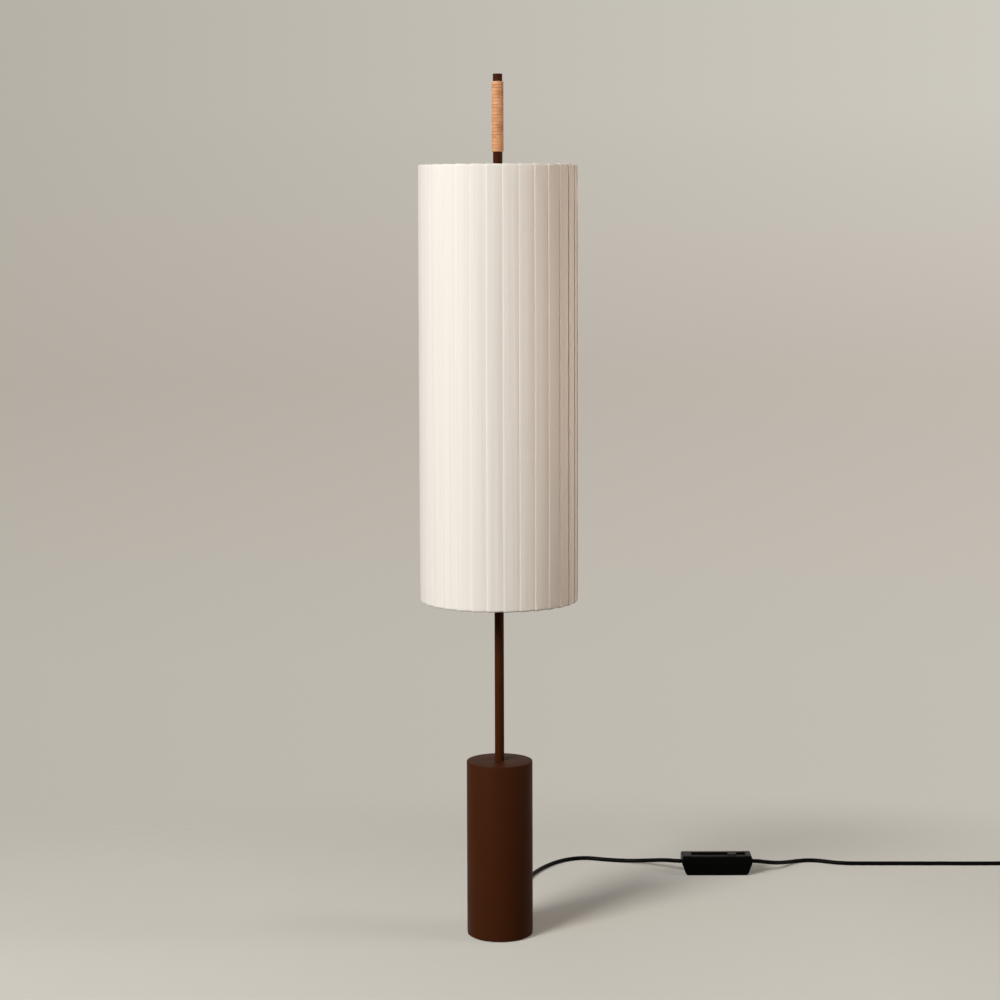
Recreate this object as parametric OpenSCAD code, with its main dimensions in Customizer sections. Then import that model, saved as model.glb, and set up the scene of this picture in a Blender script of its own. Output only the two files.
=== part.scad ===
// Floor lamp with a heavy cylinder base, a slim stem, a tall shade of lapped fabric ribbons,
// a wound carrying grip on top, and a mains lead with a slide dimmer.
// Millimetres, +Z up. The origin is the centre of the base's underside and the front faces -Y.

/* [Base] */
// Outer diameter of the base
base_d = 92; // [84:1:130]
// Height of the base's top face above the floor
base_h = 247; // [200:1:320]
// Wall of the base casing
casing_wall = 1.5; // [1:0.1:2.5]
// Thickness of the casing's top
casing_top_t = 4; // [2:0.5:8]
// Rounding of the casing's top rim
casing_edge_r = 1.2; // [0.4:0.1:2]
// Height of the cast ballast inside the base
ballast_h = 110; // [75:1:150]
// Gap all round between the ballast and the casing
ballast_gap = 0.5; // [0.2:0.1:2]
// Thickness of the bottom plate
plate_t = 3; // [2:0.5:6]
// Step of the bottom plate inside the outline of the base
plate_inset = 0.4; // [0.1:0.1:1]
// Thickness of the pad under the base
pad_t = 2; // [1:0.5:4]
// Step of the pad inside the outline of the base
pad_inset = 4; // [2:0.5:8]
// Diameter of the pocket for the stem's nut in the ballast
pocket_d = 40; // [34:1:44]
// Height of the pocket for the stem's nut
pocket_h = 52; // [48:1:60]
// Width of the channel for the lead in the ballast
channel_w = 20; // [18:0.5:24]
// Height of the channel for the lead in the ballast
channel_h = 30; // [28:0.5:36]
// Number of screws that hold the bottom plate
plate_screw_n = 3; // [3:1:3]
// Shank diameter of a bottom plate screw
plate_screw_d = 5; // [4:0.5:6]
// Length of a bottom plate screw's shank
plate_screw_l = 14; // [8:1:24]
// Thickness of the washer on the stem
washer_t = 2; // [1:0.5:3]
// Diameter of the washer on the stem
washer_d = 32; // [26:1:33]
// Width across the corners of the stem's nut
nut_d = 24; // [20:0.5:28]
// Height of the stem's nut
nut_h = 6; // [4:0.5:8]
// Length of the stem's thread below its nut
thread_tail = 5; // [2:0.5:7]

/* [Stem] */
// Outer diameter of the stem and of the rod in the grip
stem_d = 13; // [11:0.5:16]
// Wall of the stem and of the rod
stem_wall = 1; // [0.8:0.1:1.6]
// Length of the stem that shows between the base and the shade
stem_show = 225.5; // [120:0.5:320]
// Clearance round the stem in the holes that it is clamped in
clamp_fit = 0.05; // [0.02:0.01:0.1]

/* [Grip] */
// Length of the bare rod between the shade and the grip
rod_show = 17; // [10:0.5:60]
// Length of the wound grip
grip_l = 96.5; // [60:0.5:100]
// Turns of the strip in the grip
grip_turns = 20; // [12:1:20]
// Width of the wound strip
strip_w = 4.1; // [2:0.1:4.1]
// Thickness of the wound strip
strip_t = 1.75; // [1:0.05:2.5]
// Clearance between the strip and the rod
strip_fit = 0.1; // [0.06:0.01:0.2]
// Length of the bare rod above the grip
rod_top_show = 4; // [2:0.5:12]
// Height of the end cap's head
cap_h = 6; // [3:0.5:12]
// Length of the end cap's spigot and depth of the stud in each tube
spigot_l = 16; // [8:1:24]
// Rounding of the end cap's edge
cap_edge_r = 0.8; // [0.2:0.1:1.5]

/* [Shade] */
// Diameter of the shade over its ribbons
shade_d = 220; // [190:1:260]
// Height of the shade over its rims
shade_h = 604; // [500:1:700]
// Number of ribbons round the shade
ribbon_n = 31; // [28:1:34]
// Width of a ribbon
ribbon_w = 25; // [24.6:0.1:26]
// Thickness of a ribbon
ribbon_t = 0.8; // [0.5:0.05:0.9]
// Gap between two ribbons where they lap
lap_gap = 0.35; // [0.2:0.05:0.4]
// Reach of a ribbon's raised edge from the middle of the ring wire
fold_r = 4.8; // [4.7:0.1:7]
// Extra lift of a ribbon's raised edge halfway up the shade
edge_lift = 0.4; // [0:0.1:1]
// Turn of the first raised edge from the front
first_edge = 3.2; // [0:0.1:11]
// Length of the hem inside the rim below the middle of the ring wire
hem_l = 12; // [8:0.5:20]
// Diameter of the ring wire
ring_wire_d = 5; // [4:0.1:5]
// Diameter of the frame's upright rods and spokes
rod_d = 4; // [3:0.1:5]
// Number of upright rods and of spokes in each spider
spoke_n = 3; // [3:1:3]
// Distance of each hub's outer face from the rim
hub_inset = 24; // [22:0.5:60]
// Height of a hub
hub_h = 14; // [8:0.5:24]
// Wall of a hub and of the collar below it
hub_wall = 4.5; // [3:0.5:8]
// Clearance round the stem in the hubs, which turn on it
hub_fit = 0.3; // [0.2:0.05:0.5]
// Height of the collar that the shade rests on
collar_h = 10; // [8:0.5:20]
// Thickness of the washer that the lower hub turns on
thrust_t = 1.5; // [1:0.1:3]
// Running clearance between the washer and the hub
thrust_gap = 0.3; // [0.1:0.05:0.5]

/* [Lampholders] */
// Height of the lower bracket's arm above the shade's bottom rim
lower_arm_up = 104; // [90:1:160]
// Height of the upper bracket's arm above the shade's bottom rim
upper_arm_up = 339; // [300:1:360]
// Distance of a lampholder's axis from the stem's axis
holder_reach = 45; // [42:0.5:55]
// Height of a bracket's clamp ring and of its boss
bracket_h = 18; // [14:0.5:24]
// Wall of a bracket's clamp ring
clamp_wall = 5.5; // [4:0.5:8]
// Diameter of a bracket's arm
arm_d = 10; // [8:0.5:12]
// Bore of a bracket's arm
arm_bore = 5.4; // [4.4:0.1:6]
// Diameter of the boss under a lampholder
boss_d = 18; // [14:0.5:24]
// Outer diameter of a lampholder
holder_d = 28; // [26:0.5:32]
// Height of a lampholder
holder_h = 50; // [46:0.5:60]
// Wall and floor of a lampholder
holder_wall = 2; // [1.5:0.1:3]
// Height of the contact block in a lampholder
contact_h = 12; // [8:0.5:14]
// Outer diameter of a bulb's screw cap
bulb_cap_d = 14; // [13:0.5:16]
// Height of a bulb's screw cap
bulb_cap_h = 26; // [22:0.5:26]
// Diameter of a bulb's glass
bulb_d = 45; // [35:1:48]
// Height of a bulb's glass above its cap
bulb_h = 52; // [48:1:70]
// Thickness of a bulb's glass
glass_t = 0.8; // [0.5:0.1:1.5]
// Diameter of the wires from the stem to a lampholder
wire_d = 3.6; // [2.4:0.1:4]

/* [Lead] */
// Diameter of the mains lead
cord_d = 6.2; // [5.5:0.1:6.2]
// Height of the lead's exit in the back of the base
exit_z = 16; // [16:0.5:20]
// Diameter of the gland in the wall of the base
gland_d = 12; // [10:0.5:13]
// Width of the gland's flanges past its body
flange_w = 2.5; // [1.5:0.1:3]
// Thickness of the gland's flanges
flange_t = 2; // [1:0.1:3]
// Length of the strain relief behind the base
relief_l = 24; // [20:1:40]
// Diameter of a strain relief at its thick end
relief_d = 11; // [9:0.5:12]
// Diameter of a strain relief at its thin end
relief_tip_d = 8; // [7.4:0.1:9]
// Clearance round the lead in the parts that it passes through
cord_fit = 0.05; // [0.02:0.01:0.2]

/* [Dimmer] */
// Length of the dimmer at its parting line
dimmer_l = 107; // [100:0.5:130]
// Shortening of each end from the parting line down to the underside
dimmer_taper = 7; // [3:0.5:10]
// Width of the dimmer at its parting line
dimmer_w = 37; // [28:0.5:40]
// Height of the dimmer
dimmer_h = 30; // [28:0.5:36]
// Height of the dimmer's parting line
parting_z = 18.6; // [17:0.1:20]
// Wall of the dimmer's shells
shell_t = 2; // [1.5:0.1:2.4]
// Length of the knob's channel
channel_l = 83; // [70:1:90]
// Offset of the knob's channel from the dimmer's middle
channel_off = 2.8; // [0:0.1:4]
// Depth of the knob's channel
channel_t = 2.5; // [1.5:0.1:3]
// Pitch of the cross ribs beside the knob's channel
rib_pitch = 3.2; // [2.6:0.1:5]
// Length of the knob
knob_l = 13; // [10:0.5:18]
// Width of the knob
knob_w = 16; // [12:0.5:18]
// Height of the knob above the dimmer's top
knob_up = 1; // [0.5:0.1:4]
// Travel of the knob from end to end
knob_travel = 50; // [30:1:54]
// Distance of the knob from the plug end of its travel as it lies
knob_rest = 1.5; // [0:0.5:20]
// Clearance round the knob in its channel and slot
knob_fit = 0.5; // [0.3:0.1:1]

/* [Coil and plug] */
// Turns of the stored coil
coil_turns = 5; // [3:1:8]
// Step between neighbouring turns and between the two layers
coil_step = 6.8; // [6.7:0.1:8]
// Radius of the coil at its outer turn
coil_r = 42.5; // [40:0.5:60]
// Thickness of the tie round the coil
tie_t = 0.8; // [0.5:0.1:1.5]
// Width of the tie round the coil
tie_w = 8; // [5:0.5:12]
// Length of the plug's strain relief
plug_relief_l = 22; // [20:1:30]
// Length of the plug's body
plug_l = 36; // [30:1:45]
// Width of the plug's body
plug_w = 35; // [30:0.5:40]
// Height of the plug's body
plug_h = 14; // [13:0.5:18]
// Diameter of a plug pin
pin_d = 4; // [3.5:0.1:4.8]
// Length of a plug pin
pin_l = 19; // [17:0.5:22]
// Distance between the plug pins
pin_gap = 19; // [17:0.5:20]

/* [Hidden] */
round_fn = 96;
small_fn = 48;
// Overshoot of a cutter past the face that it cuts
cut = 1;
// Bite of a welded rod into the piece that it is welded to
weld = 0.2;

// Colours as the photograph shows them
brown_paint = "#4a2d22";
fabric_white = "#e8e1d6";
wound_tan = "#c98f63";
cable_black = "#1c1b1c";
bare_steel = "#9a9c9f";
cast_grey = "#55565a";
frame_white = "#d9d6cf";
holder_white = "#ececea";
brass_yellow = "#b99a55";
glass_white = "#f4f1ea";

// Base heights
plate_z = pad_t;
ballast_z = plate_z + plate_t;
pocket_top = ballast_z + pocket_h;
nut_z = pocket_top - washer_t - nut_h;
stem_z = nut_z - thread_tail;
ballast_r = base_d / 2 - casing_wall - ballast_gap;
screw_circle_r = (pocket_d / 2 + ballast_r) / 2;
screw_head_d = 2 * plate_screw_d;

// Shade, stem and grip heights
shade_z = base_h + stem_show;
shade_top = shade_z + shade_h;
stem_top = shade_top - 8;
grip_z = shade_top + rod_show;
rod_top = grip_z + grip_l + rod_top_show;
stem_bore = stem_d - 2 * stem_wall;
clamp_bore = stem_d + 2 * clamp_fit;

// Shade frame
ring_r = shade_d / 2 - edge_lift - fold_r;
ring_low_z = shade_z + fold_r;
ring_high_z = shade_top - fold_r;
ribbon_pitch = 360 / ribbon_n;
ribbon_span = ribbon_w / (shade_d / 2) * 180 / PI;
// Fall of a ribbon's face from its raised edge to its tucked edge
ribbon_fall = (ribbon_t + lap_gap) * ribbon_span / ribbon_pitch;
hub_bore = stem_d + 2 * hub_fit;
hub_d = hub_bore + 2 * hub_wall;
hub_low_z = shade_z + hub_inset;
hub_high_z = shade_top - hub_inset - hub_h;
thrust_z = hub_low_z - thrust_gap - thrust_t;
collar_z = thrust_z - collar_h;
spoke_angles = [for (i = [0 : spoke_n - 1]) 90 + i * 360 / spoke_n];

// Lampholders
lower_arm_z = shade_z + lower_arm_up;
upper_arm_z = shade_z + upper_arm_up;
clamp_d = clamp_bore + 2 * clamp_wall;
grub_d = 4;
grub_l = clamp_wall - 0.3;
contact_pin_d = 5;
contact_gap = 4;
cap_fit = 0.2;
neck_h = 8;

// Lead inside the base and the stem
lead_bend_r = stem_z - 2 - exit_z;
relief_end_y = base_d / 2 + flange_t + relief_l;
cord_bore = cord_d + 2 * cord_fit;
wire_start = cord_d / 2 + 0.2;

// Dimmer place and knob
dimmer_x = 331.5;
dimmer_y = 313;
knob_x = knob_travel / 2 - knob_rest;
slot_w = 4;
stem_t = 3;
clamp_x = dimmer_l / 2 - 7.5;
lead_in = 14;
board_z = 8;
board_t = 1.6;
board_l = 70;
board_w = 20;
pot_h = 9;
screw_x = dimmer_l / 2 - 14;
screw_y = 8.5;

// Coil, tail and plug places
coil_x = 840;
coil_y = 351 - coil_r;
coil_z = cord_d / 2 + tie_t;
coil_rings = 24;
coil_in_r = coil_r - coil_step * coil_turns / 2;
plug_x = 905;
plug_y = 270;
plug_z = 7;

// Route of the lead from the strain relief to the dimmer: x, y and lift above its rest on the floor
route_to_dimmer = [
    [0, 72, 12.9], [0, 84, 12.7], [0, 98, 11.2], [1, 112, 8.6], [2, 126, 5.6], [4, 140, 2.8],
    [6.5, 154, 1], [10, 168, 0.2], [14, 184, 0], [19, 200, 0], [24.5, 218, 0], [30, 236, 0],
    [36, 254, 0], [42, 272, 0], [48, 290, 0], [54, 307, 0], [61, 323, 0], [69.5, 339, 0],
    [79.5, 355, 0], [91, 369, 0], [105, 381, 0], [121, 388.5, 0], [138, 389.5, 0], [154, 384.5, 0],
    [170, 379, 0], [185, 375.5, 0], [199.5, 372, 0.4], [213, 366.5, 1.8], [225, 358, 4.4],
    [236, 347, 7.6], [246, 336, 10.8], [256, 325, 13.6], [267, 316, 15.2], [278, 313, 15.5]
];
// Route of the lead from the dimmer to the coil
route_to_coil = [
    [385, 313, 15.5], [396, 313, 14.8], [407, 316, 12.8], [418, 323, 10], [428.5, 333, 7],
    [438.5, 345, 4.2], [449.5, 357, 1.8], [462, 367, 0.4], [477, 372.5, 0], [492.5, 371, 0],
    [507.5, 364.5, 0], [522.5, 358, 0], [539, 354.5, 0], [557, 353.5, 0], [575.5, 353.5, 0],
    [594, 353, 0], [612, 353, 0], [630, 352.5, 0], [648, 352.5, 0], [666, 352, 0], [684, 352, 0],
    [702, 351.5, 0], [720, 351, 0], [738, 351, 0], [756, 351, 0], [774, 351, 0], [792, 351, 0],
    [810, 351, 0.2], [824, 351, 0.7], [833.8, 351, 0.8]
];
// Route of the lead from the coil to the plug
route_of_tail = [
    [846.2, 351, 7.6], [860, 351, 7], [873, 348, 5.2], [885, 342, 3], [895, 332, 1.2],
    [901, 320, 0.4], [904, 307, 0.7], [905, 294, 2], [905, 282, 3.3], [905, 270, 3.9]
];

// A closed skin over a row of rings that have the same number of points
module skin(rings) {
    n = len(rings[0]);
    last = (len(rings) - 1) * n;
    sides = [
        for (i = [0 : len(rings) - 2], j = [0 : n - 1])
            let (a = i * n + j, b = i * n + (j + 1) % n)
                each [[a, b, b + n], [a, b + n, a + n]]
    ];
    start = [for (j = [1 : n - 2]) [0, j + 1, j]];
    end = [for (j = [1 : n - 2]) [last, last + j, last + j + 1]];
    polyhedron(points = [for (ring = rings) each ring], faces = concat(sides, start, end));
}

function unit(v) = v / norm(v);

// Direction of a route at point i
function heading(p, i) = unit(p[min(i + 1, len(p) - 1)] - p[max(i - 1, 0)]);

// A ring of n points round point p, square to direction d
function ring_at(p, d, r, n) =
    let (side = unit(cross(d, [0, 0, 1])), up = cross(side, d))
    [for (j = [0 : n - 1]) p + r * (cos(j * 360 / n) * side - sin(j * 360 / n) * up)];

// The routes give the lift above the floor, so the lead's own radius is added here
function on_floor(route) = [for (p = route) [p[0], p[1], p[2] + cord_d / 2]];

// The first and last ring stand square to the piece that the lead meets
module lead_tube(points, start_dir, end_dir) {
    last = len(points) - 1;
    skin([
        for (i = [0 : last])
            ring_at(
                points[i],
                i == 0 ? start_dir : i == last ? end_dir : heading(points, i),
                cord_d / 2,
                10
            )
    ]);
}

// Least gap between points of a winding that are more than half a turn apart
function least_gap(p, per_turn, size) =
    min([
        for (i = [0 : len(p) - 1], j = [i + per_turn / 2 : min(i + 6 * per_turn, len(p) - 1)])
            norm(p[i] - p[j])
    ]) - size;

// Points of a rounded corner at q, between its neighbours a and b
function corner(a, q, b, r) =
    let (
        u = unit(a - q),
        v = unit(b - q),
        half = acos(u * v) / 2,
        centre = q + unit(u + v) * r / sin(half),
        from = q + u * r / tan(half),
        to = q + v * r / tan(half)
    )
    [for (k = [0 : 4]) centre + r * unit((from - centre) * (4 - k) + (to - centre) * k)];

// Outline of a dimmer shell: half lengths at the bottom, the parting line and the top
function shell_outline(low, mid, high, z0, z1, z2, r0, r2) =
    concat(
        corner([-mid, z1], [-low, z0], [low, z0], r0),
        corner([-low, z0], [low, z0], [mid, z1], r0),
        [[mid, z1]],
        corner([mid, z1], [high, z2], [-high, z2], r2),
        corner([high, z2], [-high, z2], [-mid, z1], r2),
        [[-mid, z1]]
    );

// Base

module foot_pad() {
    color("#2a2624")
        cylinder(d = base_d - 2 * pad_inset, h = pad_t, $fn = round_fn);
}

// A screw of the bottom plate at each place of its circle
module at_plate_screws() {
    for (i = [0 : plate_screw_n - 1])
        rotate(-90 + i * 360 / plate_screw_n)
            translate([screw_circle_r, 0, plate_z])
                children();
}

module base_plate() {
    color(cast_grey)
        difference() {
            translate([0, 0, plate_z])
                cylinder(d = base_d - 2 * plate_inset, h = plate_t, $fn = round_fn);
            at_plate_screws() {
                translate([0, 0, -cut])
                    cylinder(d = plate_screw_d + 0.4, h = plate_t + 2 * cut, $fn = small_fn);
                translate([0, 0, -cut])
                    cylinder(d = screw_head_d + 0.4, h = cut + plate_t / 2, $fn = small_fn);
            }
        }
}

module plate_screws() {
    color(bare_steel)
        at_plate_screws()
            difference() {
                union() {
                    cylinder(d = screw_head_d, h = plate_t / 2, $fn = small_fn);
                    cylinder(d = plate_screw_d, h = plate_t + plate_screw_l, $fn = small_fn);
                }
                translate([0, 0, -cut])
                    cylinder(d = plate_screw_d * 0.6, h = cut + plate_t / 3, $fn = 6);
            }
}

module ballast_weight() {
    color(cast_grey)
        difference() {
            translate([0, 0, ballast_z])
                cylinder(r = ballast_r, h = ballast_h, $fn = round_fn);
            translate([0, 0, ballast_z - cut])
                cylinder(d = pocket_d, h = pocket_h + cut, $fn = round_fn);
            translate([0, 0, ballast_z])
                cylinder(d = clamp_bore, h = ballast_h + cut, $fn = small_fn);
            translate([-channel_w / 2, 0, ballast_z - cut])
                cube([channel_w, base_d, channel_h + cut]);
            at_plate_screws()
                cylinder(d = plate_screw_d + 0.1, h = plate_t + plate_screw_l + cut, $fn = small_fn);
        }
}

module base_casing() {
    side = base_d / 2;
    edge = side - casing_edge_r;
    color(brown_paint)
        difference() {
            rotate_extrude($fn = round_fn)
                polygon(concat(
                    [
                        [clamp_bore / 2, base_h - casing_top_t],
                        [side - casing_wall, base_h - casing_top_t],
                        [side - casing_wall, ballast_z],
                        [side, ballast_z]
                    ],
                    [
                        for (a = [0 : 15 : 90])
                            [edge + casing_edge_r * cos(a), base_h - casing_edge_r * (1 - sin(a))]
                    ],
                    [[clamp_bore / 2, base_h]]
                ));
            translate([0, 0, exit_z])
                rotate([-90, 0, 0])
                    cylinder(d = gland_d + 0.1, h = base_d, $fn = small_fn);
        }
}

// A moulded bush whose two flanges grip the wall of the base
module cord_gland() {
    wall_in = base_d / 2 - casing_wall;
    flange_d = gland_d + 2 * flange_w;
    inner_y = sqrt(pow(wall_in, 2) - pow(flange_d / 2, 2)) - flange_t;
    outer_y = base_d / 2 + flange_t;
    color(cable_black)
        difference() {
            union() {
                difference() {
                    translate([0, inner_y, exit_z])
                        rotate([-90, 0, 0])
                            cylinder(d = flange_d, h = outer_y - inner_y, $fn = small_fn);
                    difference() {
                        cylinder(d = base_d, h = 2 * exit_z, $fn = round_fn);
                        translate([0, 0, -cut])
                            cylinder(r = wall_in, h = 2 * (exit_z + cut), $fn = round_fn);
                    }
                }
                translate([0, inner_y, exit_z])
                    rotate([-90, 0, 0])
                        cylinder(d = gland_d, h = outer_y - inner_y, $fn = small_fn);
            }
            translate([0, 0, exit_z])
                rotate([-90, 0, 0])
                    cylinder(d = cord_bore, h = base_d, $fn = small_fn);
        }
}

// A tapered sleeve from its thick end at the origin along +Z, with flex grooves
module relief_sleeve(length) {
    groove = 1.2;
    rotate_extrude($fn = small_fn)
        difference() {
            polygon([
                [cord_bore / 2, 0],
                [relief_d / 2, 0],
                [relief_tip_d / 2, length],
                [cord_bore / 2, length]
            ]);
            for (z = [length * 0.25 : length / 6 : length * 0.8])
                translate([relief_tip_d / 2 - 0.1, z])
                    square([relief_d, groove]);
        }
}

module strain_relief() {
    color(cable_black)
        translate([0, base_d / 2 + flange_t, exit_z])
            rotate([-90, 0, 0])
                relief_sleeve(relief_l);
}

module stem_washer() {
    color(bare_steel)
        translate([0, 0, pocket_top - washer_t])
            difference() {
                cylinder(d = washer_d, h = washer_t, $fn = small_fn);
                translate([0, 0, -cut])
                    cylinder(d = clamp_bore, h = washer_t + 2 * cut, $fn = small_fn);
            }
}

module stem_locknut() {
    color(bare_steel)
        translate([0, 0, nut_z])
            difference() {
                cylinder(d = nut_d, h = nut_h, $fn = 6);
                translate([0, 0, -cut])
                    cylinder(d = clamp_bore, h = nut_h + 2 * cut, $fn = small_fn);
            }
}

// Stem and grip

module stem_tube() {
    color(brown_paint)
        difference() {
            translate([0, 0, stem_z])
                cylinder(d = stem_d, h = stem_top - stem_z, $fn = small_fn);
            translate([0, 0, stem_z - cut])
                cylinder(d = stem_bore, h = stem_top - stem_z + 2 * cut, $fn = small_fn);
            translate([0, 0, lower_arm_z])
                rotate([0, 90, 0])
                    cylinder(d = arm_bore, h = stem_d, $fn = small_fn);
            translate([0, 0, upper_arm_z])
                rotate([0, -90, 0])
                    cylinder(d = arm_bore, h = stem_d, $fn = small_fn);
        }
}

// A threaded stud that joins the rod of the grip to the stem
module handle_stud() {
    color(bare_steel)
        translate([0, 0, stem_top - spigot_l])
            cylinder(d = stem_bore - 2 * clamp_fit, h = 2 * spigot_l, $fn = small_fn);
}

module handle_rod() {
    color(brown_paint)
        translate([0, 0, stem_top])
            difference() {
                cylinder(d = stem_d, h = rod_top - stem_top, $fn = small_fn);
                translate([0, 0, -cut])
                    cylinder(d = stem_bore, h = rod_top - stem_top + 2 * cut, $fn = small_fn);
            }
}

grip_rings = 24;
grip_step = (grip_l - strip_w) / grip_turns;
function grip_point(i, r, dz) =
    let (a = 90 + i * 360 / grip_rings)
    [r * cos(a), r * sin(a), grip_z + strip_w / 2 + i * grip_step / grip_rings + dz];

// One flat strip, wound up the rod from the back
module grip_wrap() {
    in_r = stem_d / 2 + strip_fit;
    out_r = in_r + strip_t;
    shoulder_r = out_r - strip_t * 0.4;
    section = [
        [in_r, strip_w / 2], [in_r, -strip_w / 2], [shoulder_r, -strip_w / 2],
        [out_r, -strip_w / 4], [out_r, strip_w / 4], [shoulder_r, strip_w / 2]
    ];
    steps = grip_turns * grip_rings;
    centre = [for (i = [0 : steps]) grip_point(i, in_r, 0)];
    echo(grip_least_gap = least_gap(centre, grip_rings, strip_w));
    color(wound_tan)
        skin([for (i = [0 : steps]) [for (q = section) grip_point(i, q[0], q[1])]]);
}

module end_cap() {
    edge = stem_d / 2 - cap_edge_r;
    color(brown_paint)
        translate([0, 0, rod_top])
            rotate_extrude($fn = small_fn)
                polygon(concat(
                    [
                        [0, -spigot_l],
                        [stem_bore / 2 - clamp_fit, -spigot_l],
                        [stem_bore / 2 - clamp_fit, 0],
                        [stem_d / 2, 0]
                    ],
                    [
                        for (a = [0 : 22.5 : 90])
                            [edge + cap_edge_r * cos(a), cap_h - cap_edge_r * (1 - sin(a))]
                    ],
                    [[0, cap_h]]
                ));
}

// A grub screw, from its tip at the stem's face outwards along +X
module grub_screw() {
    translate([stem_d / 2 + clamp_fit, 0, 0])
        rotate([0, 90, 0])
            difference() {
                cylinder(d = grub_d, h = grub_l, $fn = small_fn);
                translate([0, 0, grub_l / 2])
                    cylinder(d = grub_d / 2, h = grub_l, $fn = 6);
            }
}

module grub_screws() {
    color(bare_steel) {
        translate([0, 0, collar_z + collar_h / 2])
            rotate(90)
                grub_screw();
        translate([0, 0, lower_arm_z])
            rotate(180)
                grub_screw();
        translate([0, 0, upper_arm_z])
            grub_screw();
    }
}

// Bore for a grub screw through the wall of a ring on the stem, along +X
module grub_bore() {
    rotate([0, 90, 0])
        cylinder(d = grub_d + 0.1, h = stem_d / 2 + 2 * hub_wall + 2 * clamp_wall, $fn = small_fn);
}

// Shade

module shade_collar() {
    color(bare_steel)
        translate([0, 0, collar_z])
            difference() {
                cylinder(d = hub_d, h = collar_h, $fn = small_fn);
                translate([0, 0, -cut])
                    cylinder(d = clamp_bore, h = collar_h + 2 * cut, $fn = small_fn);
                translate([0, 0, collar_h / 2])
                    rotate(90)
                        grub_bore();
            }
}

module shade_washer() {
    color(holder_white)
        translate([0, 0, thrust_z])
            difference() {
                cylinder(d = hub_d, h = thrust_t, $fn = small_fn);
                translate([0, 0, -cut])
                    cylinder(d = clamp_bore, h = thrust_t + 2 * cut, $fn = small_fn);
            }
}

// A hub with spokes that reach the frame's upright rods
module spider(z) {
    spoke_end = ring_r - rod_d / 2 + weld;
    color(frame_white)
        translate([0, 0, z])
            difference() {
                union() {
                    cylinder(d = hub_d, h = hub_h, $fn = small_fn);
                    for (a = spoke_angles)
                        rotate(a)
                            translate([0, 0, hub_h / 2])
                                rotate([0, 90, 0])
                                    cylinder(d = rod_d, h = spoke_end, $fn = small_fn);
                }
                translate([0, 0, -cut])
                    cylinder(d = hub_bore, h = hub_h + 2 * cut, $fn = small_fn);
            }
}

module bottom_spider() {
    spider(hub_low_z);
}

module top_spider() {
    spider(hub_high_z);
}

module wire_ring(z) {
    color(frame_white)
        translate([0, 0, z])
            rotate_extrude($fn = round_fn)
                translate([ring_r, 0])
                    circle(d = ring_wire_d, $fn = small_fn);
}

module bottom_ring() {
    wire_ring(ring_low_z);
}

module top_ring() {
    wire_ring(ring_high_z);
}

module frame_rods() {
    low = ring_low_z + ring_wire_d / 2 - weld;
    high = ring_high_z - ring_wire_d / 2 + weld;
    color(frame_white)
        for (a = spoke_angles)
            rotate(a)
                translate([ring_r, 0, low])
                    cylinder(d = rod_d, h = high - low, $fn = small_fn);
}

// Stations of a ribbon from its upper hem over the rim and down to its lower hem:
// height of the station's centre, turn about it from outwards to upwards, and share of the lift
ribbon_path = concat(
    [[ring_high_z - hem_l, 180, 0]],
    [for (a = [180 : -45 : 0]) [ring_high_z, a, 0]],
    [for (s = [0.75, 0.5, 0.25]) [ring_low_z + s * (ring_high_z - ring_low_z), 0, sin(180 * s)]],
    [for (a = [0 : -45 : -180]) [ring_low_z, a, 0]],
    [[ring_low_z + hem_l, -180, 0]]
);

// A point of a ribbon at station s, share u of its width from the raised edge, and depth d
function ribbon_point(s, u, d) =
    let (
        a = -90 + first_edge + u * ribbon_span,
        reach = fold_r - u * ribbon_fall - d + edge_lift * s[2] * pow(1 - u, 2),
        r = ring_r + reach * cos(s[1])
    )
    [r * cos(a), r * sin(a), s[0] + reach * sin(s[1])];

// Each ribbon's left edge, seen from outside, lies on its neighbour's right edge
module shade_ribbons() {
    corners = [[0, 0], [0.5, 0], [1, 0], [1, ribbon_t], [0.5, ribbon_t], [0, ribbon_t]];
    color(fabric_white)
        for (i = [0 : ribbon_n - 1])
            rotate(i * ribbon_pitch)
                skin([for (s = ribbon_path) [for (q = corners) ribbon_point(s, q[0], q[1])]]);
}

// Lampholders, on a bracket whose arm points along +X

module bracket() {
    color(frame_white)
        difference() {
            union() {
                translate([0, 0, -bracket_h / 2])
                    cylinder(d = clamp_d, h = bracket_h, $fn = small_fn);
                rotate([0, 90, 0])
                    cylinder(d = arm_d, h = holder_reach, $fn = small_fn);
                translate([holder_reach, 0, -bracket_h / 2])
                    cylinder(d = boss_d, h = bracket_h, $fn = small_fn);
            }
            translate([0, 0, -bracket_h])
                cylinder(d = clamp_bore, h = 2 * bracket_h, $fn = small_fn);
            rotate([0, 90, 0])
                cylinder(d = arm_bore, h = holder_reach, $fn = small_fn);
            translate([holder_reach, 0, 0])
                sphere(d = arm_bore, $fn = small_fn);
            translate([holder_reach, 0, 0])
                cylinder(d = arm_bore, h = bracket_h, $fn = small_fn);
            rotate(180)
                grub_bore();
        }
}

// A cup, open at the top, that stands on the bracket's boss
module lampholder() {
    color(holder_white)
        translate([holder_reach, 0, bracket_h / 2])
            difference() {
                cylinder(d = holder_d, h = holder_h, $fn = round_fn);
                translate([0, 0, holder_wall])
                    cylinder(d = holder_d - 2 * holder_wall, h = holder_h, $fn = round_fn);
                translate([0, 0, -cut])
                    cylinder(d = arm_bore, h = holder_wall + 2 * cut, $fn = small_fn);
            }
}

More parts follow.
